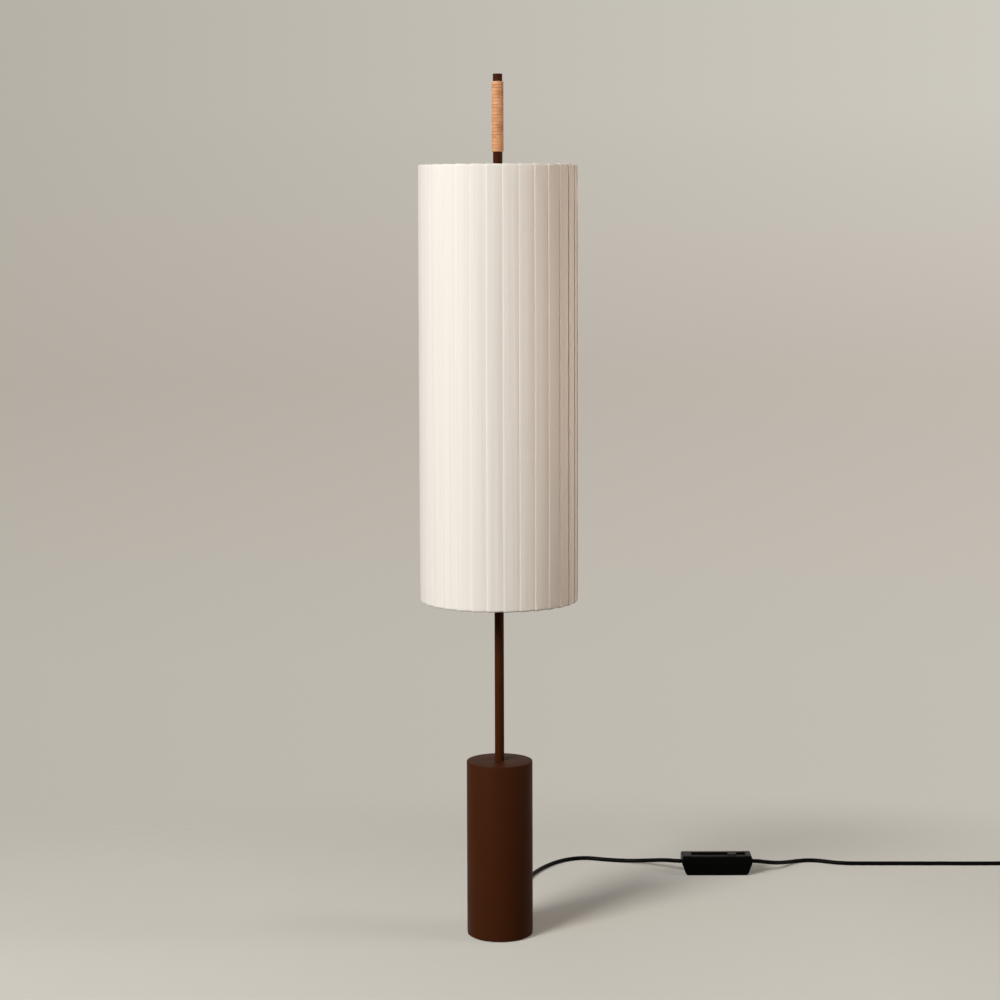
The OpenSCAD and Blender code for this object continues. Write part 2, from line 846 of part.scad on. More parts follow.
// The contact block and the threaded sleeve that takes the bulb's cap
module contacts() {
    block_d = holder_d - 2 * holder_wall - 0.2;
    sleeve_d = bulb_cap_d + 2 * cap_fit;
    sleeve_top = contact_h + contact_gap + bulb_cap_h * 0.8;
    color(brass_yellow)
        translate([holder_reach, 0, bracket_h / 2 + holder_wall])
            difference() {
                union() {
                    cylinder(d = block_d, h = contact_h, $fn = small_fn);
                    cylinder(d = sleeve_d + 2, h = sleeve_top, $fn = small_fn);
                }
                translate([0, 0, contact_h])
                    cylinder(d = sleeve_d, h = sleeve_top, $fn = small_fn);
                translate([0, 0, -cut])
                    cylinder(d = arm_bore, h = cut + contact_h / 2, $fn = small_fn);
            }
}

cap_base_z = bracket_h / 2 + holder_wall + contact_h;

module bulb_cap() {
    color(bare_steel)
        translate([holder_reach, 0, cap_base_z]) {
            cylinder(d = contact_pin_d, h = contact_gap, $fn = small_fn);
            translate([0, 0, contact_gap])
                cylinder(d = bulb_cap_d, h = bulb_cap_h, $fn = small_fn);
        }
}

// Outline of the bulb's glass, drawn in by t
function bulb_outline(t) =
    let (
        r = bulb_d / 2 - t,
        centre = bulb_h - bulb_d / 2,
        neck = bulb_cap_d / 2 - 0.5 - t,
        start = asin((neck_h - centre) / (bulb_d / 2))
    )
    concat(
        [[0, t], [neck, t]],
        [for (k = [0 : 12]) let (a = start + (90 - start) * k / 12) [r * cos(a), centre + r * sin(a)]]
    );

module bulb() {
    color(glass_white)
        translate([holder_reach, 0, cap_base_z + contact_gap + bulb_cap_h])
            rotate_extrude($fn = round_fn)
                difference() {
                    polygon(bulb_outline(0));
                    polygon(bulb_outline(glass_t));
                }
}

module lower_bracket() {
    translate([0, 0, lower_arm_z])
        bracket();
}

module upper_bracket() {
    translate([0, 0, upper_arm_z])
        rotate(180)
            bracket();
}

module lower_lampholder() {
    translate([0, 0, lower_arm_z])
        lampholder();
}

module upper_lampholder() {
    translate([0, 0, upper_arm_z])
        rotate(180)
            lampholder();
}

module lower_contacts() {
    translate([0, 0, lower_arm_z])
        contacts();
}

module upper_contacts() {
    translate([0, 0, upper_arm_z])
        rotate(180)
            contacts();
}

module lower_bulb_cap() {
    translate([0, 0, lower_arm_z])
        bulb_cap();
}

module upper_bulb_cap() {
    translate([0, 0, upper_arm_z])
        rotate(180)
            bulb_cap();
}

module lower_bulb() {
    translate([0, 0, lower_arm_z])
        bulb();
}

module upper_bulb() {
    translate([0, 0, upper_arm_z])
        rotate(180)
            bulb();
}

// Wiring inside the lamp

// The lead runs in from the gland, bends up and stands in the stem up to the upper bracket
module inner_lead() {
    bend_z = exit_z + lead_bend_r;
    color(cable_black)
        union() {
            translate([0, lead_bend_r, exit_z])
                rotate([-90, 0, 0])
                    cylinder(d = cord_d, h = relief_end_y - lead_bend_r, $fn = small_fn);
            translate([0, lead_bend_r, bend_z])
                rotate([-90, 0, -90])
                    rotate_extrude(angle = 90, $fn = round_fn)
                        translate([lead_bend_r, 0])
                            circle(d = cord_d, $fn = small_fn);
            translate([0, 0, bend_z])
                cylinder(d = cord_d, h = upper_arm_z - bend_z + cord_d, $fn = small_fn);
        }
}

// The wires leave the stem through the arm and rise through the boss to the contact block
module holder_wires() {
    color(holder_white)
        union() {
            translate([wire_start, 0, 0])
                rotate([0, 90, 0])
                    cylinder(d = wire_d, h = holder_reach - wire_start, $fn = small_fn);
            translate([holder_reach, 0, 0])
                sphere(d = wire_d, $fn = small_fn);
            translate([holder_reach, 0, 0])
                cylinder(d = wire_d, h = cap_base_z - contact_h / 2, $fn = small_fn);
        }
}

module lower_wires() {
    translate([0, 0, lower_arm_z])
        holder_wires();
}

module upper_wires() {
    translate([0, 0, upper_arm_z])
        rotate(180)
            holder_wires();
}

module cord_to_dimmer() {
    color(cable_black)
        lead_tube(on_floor(route_to_dimmer), [0, 1, 0], [1, 0, 0]);
}

// Dimmer

// The dimmer's outer form, drawn in by t on every side
module dimmer_form(t) {
    half_l = dimmer_l / 2 - t;
    half_w = dimmer_w / 2 - t;
    intersection() {
        rotate([90, 0, 0])
            translate([0, 0, -dimmer_w])
                linear_extrude(2 * dimmer_w)
                    polygon(shell_outline(
                        half_l - dimmer_taper, half_l, half_l - 0.3,
                        t, parting_z, dimmer_h - t, 4, 2.5
                    ));
        rotate([90, 0, 90])
            translate([0, 0, -dimmer_l])
                linear_extrude(2 * dimmer_l)
                    polygon(shell_outline(
                        half_w - 1.5, half_w, half_w - 1,
                        t, parting_z, dimmer_h - t, 3, 2.5
                    ));
    }
}

module cord_holes() {
    translate([-dimmer_l, 0, parting_z])
        rotate([0, 90, 0])
            cylinder(d = cord_bore, h = 2 * dimmer_l, $fn = small_fn);
}

module at_dimmer() {
    translate([dimmer_x, dimmer_y, 0])
        children();
}

// The two shell screws stand at opposite corners
module at_dimmer_screws() {
    for (s = [-1, 1])
        translate([s * screw_x, s * screw_y, 0])
            children();
}

module dimmer_base() {
    saddle_w = 10;
    post_top = parting_z + cord_d / 2;
    color(cable_black)
        at_dimmer()
            difference() {
                union() {
                    difference() {
                        dimmer_form(0);
                        dimmer_form(shell_t);
                        translate([-dimmer_l, -dimmer_w, parting_z])
                            cube([2 * dimmer_l, 2 * dimmer_w, dimmer_h]);
                        cord_holes();
                    }
                    at_dimmer_screws()
                        translate([0, 0, shell_t / 2])
                            cylinder(d = 6, h = parting_z - shell_t / 2, $fn = small_fn);
                    for (s = [-1, 1])
                        translate([s * clamp_x - 2, -saddle_w / 2, shell_t / 2])
                            cube([4, saddle_w, post_top - cord_d - shell_t / 2]);
                    for (s = [-1, 1], side = [-1, 1])
                        translate([s * clamp_x - 2, side * 7 - 1, shell_t / 2])
                            cube([4, 2, post_top - shell_t / 2]);
                }
                at_dimmer_screws() {
                    translate([0, 0, -cut])
                        cylinder(d = 3.2, h = dimmer_h, $fn = small_fn);
                    translate([0, 0, -cut])
                        cylinder(d = 5.8, h = cut + 3, $fn = small_fn);
                }
            }
}

module dimmer_cover() {
    floor_z = dimmer_h - channel_t;
    slot_l = knob_travel + stem_t + 2 * knob_fit;
    rib_n = floor(channel_l / rib_pitch);
    groove_w = rib_pitch * 0.4;
    color(cable_black)
        at_dimmer()
            difference() {
                union() {
                    difference() {
                        dimmer_form(0);
                        dimmer_form(shell_t);
                        translate([-dimmer_l, -dimmer_w, -cut])
                            cube([2 * dimmer_l, 2 * dimmer_w, parting_z + cut]);
                        cord_holes();
                    }
                    translate([
                        channel_off - channel_l / 2 - shell_t,
                        -knob_w / 2 - knob_fit - shell_t,
                        floor_z - shell_t
                    ])
                        cube([
                            channel_l + 2 * shell_t,
                            knob_w + 2 * knob_fit + 2 * shell_t,
                            shell_t + channel_t / 2
                        ]);
                    at_dimmer_screws()
                        translate([0, 0, parting_z])
                            cylinder(d = 6, h = dimmer_h - shell_t / 2 - parting_z, $fn = small_fn);
                }
                translate([channel_off - channel_l / 2, -knob_w / 2 - knob_fit, floor_z])
                    cube([channel_l, knob_w + 2 * knob_fit, channel_t + cut]);
                for (k = [0 : rib_n - 1])
                    translate([
                        channel_off - channel_l / 2 + (k + 0.3) * rib_pitch,
                        -dimmer_w,
                        dimmer_h - 0.8
                    ])
                        cube([groove_w, 2 * dimmer_w, cut + 0.8]);
                translate([-slot_l / 2, -slot_w / 2, parting_z])
                    cube([slot_l, slot_w, dimmer_h]);
                at_dimmer_screws()
                    translate([0, 0, parting_z - cut])
                        cylinder(d = 3.1, h = cut + 5, $fn = small_fn);
            }
}

// The knob is drawn at its rest place, with its stem through the slot
module dimmer_knob() {
    floor_z = dimmer_h - channel_t;
    body_z = floor_z + knob_fit;
    body_h = channel_t - knob_fit + knob_up;
    half = knob_l / 2;
    color("#242324")
        at_dimmer()
            translate([knob_x, 0, 0])
                union() {
                    rotate([90, 0, 0])
                        translate([0, body_z, -knob_w / 2])
                            linear_extrude(knob_w)
                                polygon([
                                    [-half, 0], [half, 0], [half, body_h - 1],
                                    [half - 1, body_h], [2, body_h], [1, body_h - 0.6],
                                    [-1, body_h - 0.6], [-2, body_h], [1 - half, body_h],
                                    [-half, body_h - 1]
                                ]);
                    translate([-stem_t / 2, -stem_t / 2, board_z + board_t + pot_h - 2])
                        cube([stem_t, stem_t, body_z - board_z - board_t - pot_h + 2 + weld]);
                }
}

// The board with the slide potentiometer, whose groove takes the knob's stem
module dimmer_circuit() {
    pot_l = knob_travel + 10;
    pot_w = 9;
    groove = slot_w;
    color("#3d5a45")
        at_dimmer()
            difference() {
                union() {
                    translate([-board_l / 2, -board_w / 2, board_z])
                        cube([board_l, board_w, board_t]);
                    translate([-pot_l / 2, -pot_w / 2, board_z + board_t])
                        cube([pot_l, pot_w, pot_h]);
                    for (s = [-1, 1])
                        translate([s * board_l / 4, 0, shell_t])
                            cylinder(d = 5, h = board_z - shell_t, $fn = small_fn);
                }
                translate([
                    -knob_travel / 2 - stem_t / 2 - knob_fit,
                    -groove / 2,
                    board_z + board_t + pot_h - 2 - knob_fit
                ])
                    cube([knob_travel + stem_t + 2 * knob_fit, groove, pot_h]);
            }
}

// Each end of the lead inside the housing, and its wires to a post on the board
module dimmer_leads() {
    wire_z = board_z + board_t;
    wire_l = 6.5;
    post_d = 2.6;
    color(cable_black)
        at_dimmer()
            for (s = [-1, 1])
                translate([s * dimmer_l / 2, 0, 0])
                    mirror([s > 0 ? 1 : 0, 0, 0]) {
                        translate([0.2, 0, parting_z])
                            rotate([0, 90, 0])
                                cylinder(d = cord_d, h = lead_in, $fn = small_fn);
                        translate([lead_in, 0, parting_z])
                            rotate([0, 90, 0])
                                cylinder(d = 2, h = wire_l, $fn = small_fn);
                        translate([lead_in + wire_l, 0, wire_z])
                            cylinder(d = post_d, h = parting_z - wire_z + 1.5, $fn = small_fn);
                    }
}

// A bar across each end of the lead, on its two posts
module dimmer_clamps() {
    color(bare_steel)
        at_dimmer()
            for (s = [-1, 1])
                translate([s * clamp_x - 2, -8, parting_z + cord_d / 2])
                    cube([4, 16, 2.4]);
}

module dimmer_screws() {
    color(bare_steel)
        at_dimmer()
            at_dimmer_screws()
                difference() {
                    union() {
                        translate([0, 0, 1])
                            cylinder(d = 5.5, h = 2, $fn = small_fn);
                        translate([0, 0, 1])
                            cylinder(d = 3, h = parting_z + 3, $fn = small_fn);
                    }
                    translate([-2, -0.4, 0])
                        cube([4, 0.8, 2]);
                    translate([-0.4, -2, 0])
                        cube([0.8, 4, 2]);
                }
}

// Rest of the lead

module cord_to_coil() {
    color(cable_black)
        lead_tube(on_floor(route_to_coil), [1, 0, 0], [1, 0, 0]);
}

// The coil's centre line: t counts turns from the start, clockwise from the back
function coil_point(t) =
    let (
        a = 90 - 360 * t,
        middle = coil_turns / 2,
        r = coil_in_r + coil_step * abs(t - middle),
        climb = min(max((t - middle) * 2 + 0.5, 0), 1)
    )
    [coil_x + r * cos(a), coil_y + r * sin(a), coil_z + coil_step * climb];

// The lead winds in on the floor, climbs a layer and winds out again
module cord_coil() {
    steps = coil_turns * coil_rings;
    turns = [for (i = [0 : steps]) coil_point(i / coil_rings)];
    start = turns[0] - [cord_d, 0, 0];
    end = turns[steps] + [cord_d, 0, 0];
    points = concat([start], turns, [end]);
    last = len(points) - 1;
    echo(coil_least_gap = least_gap(turns, coil_rings, cord_d));
    color(cable_black)
        skin([
            for (i = [0 : last])
                ring_at(
                    points[i],
                    i == 0 || i == last ? [1, 0, 0] : heading(points, i),
                    cord_d / 2,
                    6
                )
        ]);
}

// A flat strap round the bundle at the front of the coil
module coil_tie() {
    low_r = coil_in_r - cord_d / 2 - 0.7;
    high_r = coil_r - coil_step / 2 + cord_d / 2 + 0.3;
    inner_h = cord_d + coil_step + 0.2;
    color("#3a3a3c")
        translate([coil_x - tie_w / 2, coil_y - high_r, 0])
            difference() {
                translate([0, -tie_t, 0])
                    cube([tie_w, high_r - low_r + 2 * tie_t, inner_h + 2 * tie_t]);
                translate([-cut, 0, tie_t])
                    cube([tie_w + 2 * cut, high_r - low_r, inner_h]);
            }
}

module cord_tail() {
    color(cable_black)
        lead_tube(on_floor(route_of_tail), [1, 0, 0], [0, -1, 0]);
}

module plug_relief() {
    color(cable_black)
        translate([plug_x, plug_y - plug_relief_l, plug_z])
            rotate([-90, 0, 0])
                relief_sleeve(plug_relief_l);
}

// The plug lies flat, with its pins towards -Y
module plug_body() {
    wide = plug_w / 2;
    narrow = relief_d / 2 + 2;
    edge = 2;
    color(cable_black)
        translate([plug_x, plug_y - plug_relief_l, 0])
            intersection() {
                linear_extrude(plug_h)
                    polygon(concat(
                        [[narrow, 0]],
                        corner([narrow, 0], [wide, -plug_l * 0.4], [wide, -plug_l], 6),
                        corner([wide, 0], [wide, -plug_l], [-wide, -plug_l], 2),
                        corner([wide, -plug_l], [-wide, -plug_l], [-wide, 0], 2),
                        corner([-wide, -plug_l], [-wide, -plug_l * 0.4], [-narrow, 0], 6),
                        [[-narrow, 0]]
                    ));
                rotate([90, 0, 0])
                    linear_extrude(plug_l)
                        polygon([
                            [edge - wide, 0], [wide - edge, 0], [wide, edge], [wide, plug_h - edge],
                            [wide - edge, plug_h], [edge - wide, plug_h], [-wide, plug_h - edge],
                            [-wide, edge]
                        ]);
            }
}

module plug_pins() {
    color(bare_steel)
        for (s = [-1, 1])
            translate([plug_x + s * pin_gap / 2, plug_y - plug_relief_l - plug_l, plug_z])
                rotate([90, 0, 0]) {
                    cylinder(d = pin_d, h = pin_l - pin_d / 4, $fn = small_fn);
                    translate([0, 0, pin_l - pin_d / 4])
                        cylinder(d1 = pin_d, d2 = pin_d / 2, h = pin_d / 4, $fn = small_fn);
                }
}

foot_pad();
base_plate();
plate_screws();
ballast_weight();
base_casing();
cord_gland();
strain_relief();
stem_washer();
stem_locknut();
stem_tube();
handle_stud();
handle_rod();
grip_wrap();
end_cap();
grub_screws();
shade_collar();
shade_washer();
bottom_spider();
bottom_ring();
frame_rods();
top_ring();
top_spider();
shade_ribbons();
lower_bracket();
upper_bracket();
lower_lampholder();
upper_lampholder();
lower_contacts();
upper_contacts();
lower_bulb_cap();
upper_bulb_cap();
lower_bulb();
upper_bulb();
inner_lead();
lower_wires();
upper_wires();
cord_to_dimmer();
dimmer_base();
dimmer_cover();
dimmer_knob();
dimmer_circuit();
dimmer_leads();
dimmer_clamps();
dimmer_screws();
cord_to_coil();
cord_coil();
coil_tie();
cord_tail();
plug_relief();
plug_body();
plug_pins();
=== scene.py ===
import math

import bmesh
import bpy
from mathutils import Matrix, Vector


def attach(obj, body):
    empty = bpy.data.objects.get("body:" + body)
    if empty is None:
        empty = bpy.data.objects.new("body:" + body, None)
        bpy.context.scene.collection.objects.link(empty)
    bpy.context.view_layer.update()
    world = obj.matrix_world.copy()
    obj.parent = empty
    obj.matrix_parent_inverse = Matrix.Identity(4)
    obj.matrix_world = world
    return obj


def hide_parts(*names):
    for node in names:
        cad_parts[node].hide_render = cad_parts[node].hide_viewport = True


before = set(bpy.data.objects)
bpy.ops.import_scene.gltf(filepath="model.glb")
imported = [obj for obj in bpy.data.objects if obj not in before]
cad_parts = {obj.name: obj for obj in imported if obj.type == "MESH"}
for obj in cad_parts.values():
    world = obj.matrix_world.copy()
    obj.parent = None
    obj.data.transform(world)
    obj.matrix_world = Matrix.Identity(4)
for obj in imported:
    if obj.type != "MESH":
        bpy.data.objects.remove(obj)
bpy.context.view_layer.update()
scene = bpy.context.scene
scene.view_settings.view_transform = "Standard"


# Camera
# A long lens 3.4 m in front, a little below the shade's top rim, tipped down by a few degrees.
# The film's small shift keeps the lamp where the photograph has it.
TIPPED, ROLLED = math.radians(4.478), math.radians(0.178)

camera = bpy.data.objects.new("camera", bpy.data.cameras.new("camera"))
camera.data.sensor_width = 36
camera.data.lens = 88.87
camera.data.shift_x = 0.0021
camera.data.shift_y = -0.0993
camera.location = (0, -3.4019, 1.0176)
camera.rotation_euler = (math.radians(90) - TIPPED, ROLLED, 0)
scene.collection.objects.link(camera)
scene.camera = camera


# Floor and light
# Pale matt paper that runs back and melts into the backdrop without an edge. One large soft lamp
# stands at the front left, with a weak fill on each side and a warm bounce on the shade's right.
def linear(shade):
    """The linear colour of an sRGB hex value."""
    parts = [int(shade[i : i + 2], 16) / 255 for i in (1, 3, 5)]
    return [p / 12.92 if p <= 0.04045 else ((p + 0.055) / 1.055) ** 2.4 for p in parts] + [1]


def add(tree, kind, sockets=(), **settings):
    """A new node with these settings, whose sockets are each set to a value or linked."""
    node = tree.nodes.new(kind)
    for name, value in settings.items():
        setattr(node, name, value)
    for name, value in dict(sockets).items():
        if isinstance(value, bpy.types.Node):
            value = value.outputs[0]
        if isinstance(value, bpy.types.NodeSocket):
            tree.links.new(value, node.inputs[name])
        else:
            node.inputs[name].default_value = value
    return node


def seen_or_mirrored(tree):
    """1 for a ray from the camera, from gloss or through glass, and 0 for light on the object."""
    path = add(tree, "ShaderNodeLightPath")
    both = add(tree, "ShaderNodeMath", {0: path.outputs["Is Camera Ray"],
                                        1: path.outputs["Is Glossy Ray"]}, operation="MAXIMUM")
    return add(tree, "ShaderNodeMath", {0: both, 1: path.outputs["Is Transmission Ray"]},
               operation="MAXIMUM")


# The backdrop is paper, with painted light and shade in three bands of tone, one above the other,
# each darker at the left and paler at the right. How far to the side, and how high, its tones lie
# is given as parts of a unit direction.
SIDE, HIGH, MIDDLE, LOW = 0.2, 0.04, -0.07, -0.18
ROOM_LIGHT = 0.12

studio = bpy.data.worlds.new("studio")
studio.use_nodes = True
tree = studio.node_tree
tree.nodes.clear()
direction = add(tree, "ShaderNodeSeparateXYZ",
                {0: add(tree, "ShaderNodeTexCoord").outputs["Generated"]})
across = add(tree, "ShaderNodeMapRange", {"Value": direction.outputs["X"],
                                          "From Min": -SIDE, "From Max": SIDE})
raised = add(tree, "ShaderNodeMapRange", {"Value": direction.outputs["Z"],
                                          "From Min": MIDDLE, "From Max": HIGH})
lowered = add(tree, "ShaderNodeMapRange", {"Value": direction.outputs["Z"],
                                           "From Min": MIDDLE, "From Max": LOW})
paper_high, paper_mid, paper_low = (
    add(tree, "ShaderNodeMix", {0: across, 6: linear(left), 7: linear(right)},
        data_type="RGBA").outputs[2]
    for left, right in (("#b6b1a7", "#cdc9c0"), ("#b4aca2", "#c1b8ae"), ("#bbb6ac", "#c3beb4")))
behind = add(tree, "ShaderNodeMix", {0: raised, 6: paper_mid, 7: paper_high}, data_type="RGBA")
behind = add(tree, "ShaderNodeMix", {0: lowered, 6: behind.outputs[2], 7: paper_low},
             data_type="RGBA")
backdrop = add(tree, "ShaderNodeBackground", {"Color": behind.outputs[2]})
# A weak warm light from overhead is all that the room itself throws on the lamp
overhead = add(tree, "ShaderNodeMapRange", {"Value": direction.outputs["Z"], "To Max": ROOM_LIGHT})
room_light = add(tree, "ShaderNodeBackground", {"Color": linear("#ffe7d3"), "Strength": overhead})
add(tree, "ShaderNodeOutputWorld", {"Surface": add(tree, "ShaderNodeMixShader", {
    0: seen_or_mirrored(tree), 1: room_light, 2: backdrop})})
scene.world = studio

# In metres: how deep the ellipse is within which the sheet melts least, and the one past which it
# has melted away, the stretch to the right over which it grows paler, how far off its edge lies,
# and how far it is below the lamp's foot. It is lighter for the camera than the tone that it
# throws back on the lamp.
SHOWS, MELTED, ELLIPSE, LEAST_MELTED = 0.42, 0.9, (0.6, 1, 1), 0.25
PALER_FROM, PALER_TO = 0.1, 0.5
FAR_EDGE, BELOW = 60, 0.0001

# Matt paper: no gloss at all, and so smooth at this distance that it shows no grain
paper = bpy.data.materials.new("matt paper")
paper.use_nodes = True
tree = paper.node_tree
tree.nodes.clear()
place = add(tree, "ShaderNodeTexCoord").outputs["Object"]
long_way = add(tree, "ShaderNodeVectorMath", {0: place, 1: ELLIPSE}, operation="MULTIPLY")
distance = add(tree, "ShaderNodeVectorMath", {0: long_way}, operation="LENGTH").outputs["Value"]
# Painted light: even near the lamp a quarter of the sheet shows the backdrop's tone, which lightens
# the lamp's shadows on it
far = add(tree, "ShaderNodeMapRange", {"Value": distance, "From Min": SHOWS, "From Max": MELTED,
                                       "To Min": LEAST_MELTED}, interpolation_type="SMOOTHSTEP")
# Painted light: the sheet is paler towards the right, where the lamps alone leave it darker
right = add(tree, "ShaderNodeSeparateXYZ", {0: place}).outputs["X"]
pale = add(tree, "ShaderNodeMapRange",
           {"Value": right, "From Min": PALER_FROM, "From Max": PALER_TO})
sheet = add(tree, "ShaderNodeMix", {0: pale, 6: linear("#e6e5dd"), 7: linear("#f2f1ea")},
            data_type="RGBA")
seen = seen_or_mirrored(tree)
tone = add(tree, "ShaderNodeMix", {0: seen, 6: linear("#7c7a75"), 7: sheet.outputs[2]},
           data_type="RGBA")
near_paper = add(tree, "ShaderNodeBsdfDiffuse", {"Color": tone.outputs[2]})
melted = add(tree, "ShaderNodeBsdfTransparent")
share = add(tree, "ShaderNodeMath", {0: far, 1: seen}, operation="MULTIPLY")
add(tree, "ShaderNodeOutputMaterial", {"Surface": add(tree, "ShaderNodeMixShader", {
    0: share, 1: near_paper, 2: melted})})

floor_mesh = bpy.data.meshes.new("floor")
floor_mesh.from_pydata([(x * FAR_EDGE, y * FAR_EDGE, 0) for x, y in (
    (-1, -1), (1, -1), (1, 1), (-1, 1))], [], [(0, 1, 2, 3)])
floor_mesh.materials.append(paper)
floor = bpy.data.objects.new("floor", floor_mesh)
floor.location.z = -BELOW
scene.collection.objects.link(floor)

# Each lamp: turn from the front to the left in degrees, distance, height, the height that it aims
# at and its size in metres, spread in degrees, power in watts, and colour
for name, turn, away, height, aim_z, size, spread, power, shade in (
    ("key", 41, 5.5, 3.5, 0.6, 2.36, 180, 422, "#fffcf8"),
    ("left_fill", 65, 3.6, 2.2, 0.6, 2.0, 180, 12, "#b4d2ff"),
    ("right_fill", -75, 2.6, 2.4, 0.6, 0.9, 180, 10, "#fff0e0"),
    ("warm_bounce", -88, 2.5, 1.0, 0.83, 0.6, 43, 1.72, "#ffebdc"),
):
    light = bpy.data.lights.new(name, "AREA")
    light.shape = "DISK"
    light.size = size
    light.spread = math.radians(spread)
    light.energy = power
    light.color = linear(shade)[:3]
    lamp = bpy.data.objects.new(name, light)
    turn = math.radians(turn)
    lamp.location = (-away * math.sin(turn), -away * math.cos(turn), height)
    aim = Vector((0, 0, aim_z)) - lamp.location
    lamp.rotation_euler = aim.to_track_quat("-Z", "Y").to_euler()
    scene.collection.objects.link(lamp)


# Mains lead
# Two lengths of round two-core cable in a smooth black PVC sheath, one from the base to the
# dimmer and one from the dimmer to the plug, the last of it wound into a coil for storage.
# In metres: the sheath's diameter, and the step from ring to ring of its mesh
LEAD_D, LEAD_STEP = 0.0062, 0.003
LEAD_SIDES = 20


def new_finish(name, sockets=()):
    """A new material with one Principled BSDF: the material, its tree and its shader."""
    made = bpy.data.materials.new(name)
    made.use_nodes = True
    shader = next(n for n in made.node_tree.nodes if n.type == "BSDF_PRINCIPLED")
    for socket, value in dict(sockets).items():
        shader.inputs[socket].default_value = value
    return made, made.node_tree, shader


def new_tree(name, inputs):
    """A geometry node tree with named inputs of these kinds, and its group input's outputs."""
    tree = bpy.data.node_groups.new(name, "GeometryNodeTree")
    for label, kind in {"Geometry": "Geometry", **inputs, "Finish": "Material"}.items():
        tree.interface.new_socket(label, in_out="INPUT", socket_type="NodeSocket" + kind)
    tree.interface.new_socket("Geometry", in_out="OUTPUT", socket_type="NodeSocketGeometry")
    return tree, tree.nodes.new("NodeGroupInput").outputs


def end_tree(tree, shape, finish):
    """Realize Instances and Set Material, which end every tree."""
    real = add(tree, "GeometryNodeRealizeInstances", {0: shape})
    smooth = add(tree, "GeometryNodeSetShadeSmooth", {0: real})
    painted = add(tree, "GeometryNodeSetMaterial", {0: smooth, "Material": finish})
    add(tree, "NodeGroupOutput", {0: painted})


def grown(name, mesh, tree, inputs):
    """A new object with the plain mesh that a tree grows from this one."""
    obj = bpy.data.objects.new(name, mesh)
    scene.collection.objects.link(obj)
    growth = obj.modifiers.new("growth", "NODES")
    growth.node_group = tree
    for item in tree.interface.items_tree:
        if item.in_out == "INPUT" and item.name in inputs:
            growth[item.identifier] = inputs[item.name]
    graph = bpy.context.evaluated_depsgraph_get()
    plain = bpy.data.meshes.new_from_object(obj.evaluated_get(graph), depsgraph=graph)
    obj.modifiers.remove(growth)
    obj.data = plain
    return obj


def settled(obj, body, stands_for):
    """The object rides on its body, its edges turn sharp past 38 degrees, and the CAD nodes that it
    stands for are hidden.
    """
    sharp = math.radians(38)
    obj.data.set_sharp_from_angle(angle=sharp)
    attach(obj, body)
    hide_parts(*stands_for)
    return obj


lead_tree, given = new_tree("sheath along a path", {"Diameter": "Float", "Step": "Float"})
path = add(lead_tree, "GeometryNodeMeshToCurve", {0: given["Geometry"]})
path = add(lead_tree, "GeometryNodeCurveSplineType", {0: path}, spline_type="CATMULL_ROM")
path = add(lead_tree, "GeometryNodeSetSplineResolution", {0: path, "Resolution": 8})
path = add(lead_tree, "GeometryNodeResampleCurve", {0: path, "Length": given["Step"]},
           mode="LENGTH")
run = add(lead_tree, "GeometryNodeSplineParameter").outputs["Length"]
path = add(lead_tree, "GeometryNodeStoreNamedAttribute", {0: path, "Name": "along", "Value": run})
radius = add(lead_tree, "ShaderNodeMath", {0: given["Diameter"], 1: 0.5}, operation="MULTIPLY")
round_wall = add(lead_tree, "GeometryNodeCurvePrimitiveCircle",
                 {"Resolution": LEAD_SIDES, "Radius": radius})
sheath = add(lead_tree, "GeometryNodeCurveToMesh", {0: path, 1: round_wall, "Fill Caps": True})
end_tree(lead_tree, sheath, given["Finish"])

# Smooth PVC with a low sheen: extruded, so faint marks run round it in bands, which follow each
# other every few millimetres.
BAND, BAND_DEPTH = 2.5, 0.04
pvc, tree, shader = new_finish("extruded PVC sheath",
                               {"Roughness": 0.45, "Specular IOR Level": 0.06})
along = add(tree, "ShaderNodeAttribute", attribute_name="along").outputs["Fac"]
paced = add(tree, "ShaderNodeMath", {0: along, 1: 1000 / BAND}, operation="MULTIPLY")
bands = add(tree, "ShaderNodeTexNoise", {"W": paced, "Scale": 1, "Detail": 2},
            noise_dimensions="1D").outputs["Fac"]
strong = add(tree, "ShaderNodeMapRange", {"Value": bands, "From Min": 0.3, "From Max": 0.7})
black = add(tree, "ShaderNodeMix", {0: strong, 6: linear("#020202"), 7: linear("#050505")},
            data_type="RGBA")
bump = add(tree, "ShaderNodeBump", {"Height": bands, "Distance": BAND_DEPTH / 1000})
tree.links.new(black.outputs[2], shader.inputs["Base Color"])
tree.links.new(bump.outputs[0], shader.inputs["Normal"])


def laid(points):
    """Points of the lead in metres, from millimetres and their lift off the floor."""
    return [Vector((x / 1000, y / 1000, lift / 1000 + LEAD_D / 2)) for x, y, lift in points]


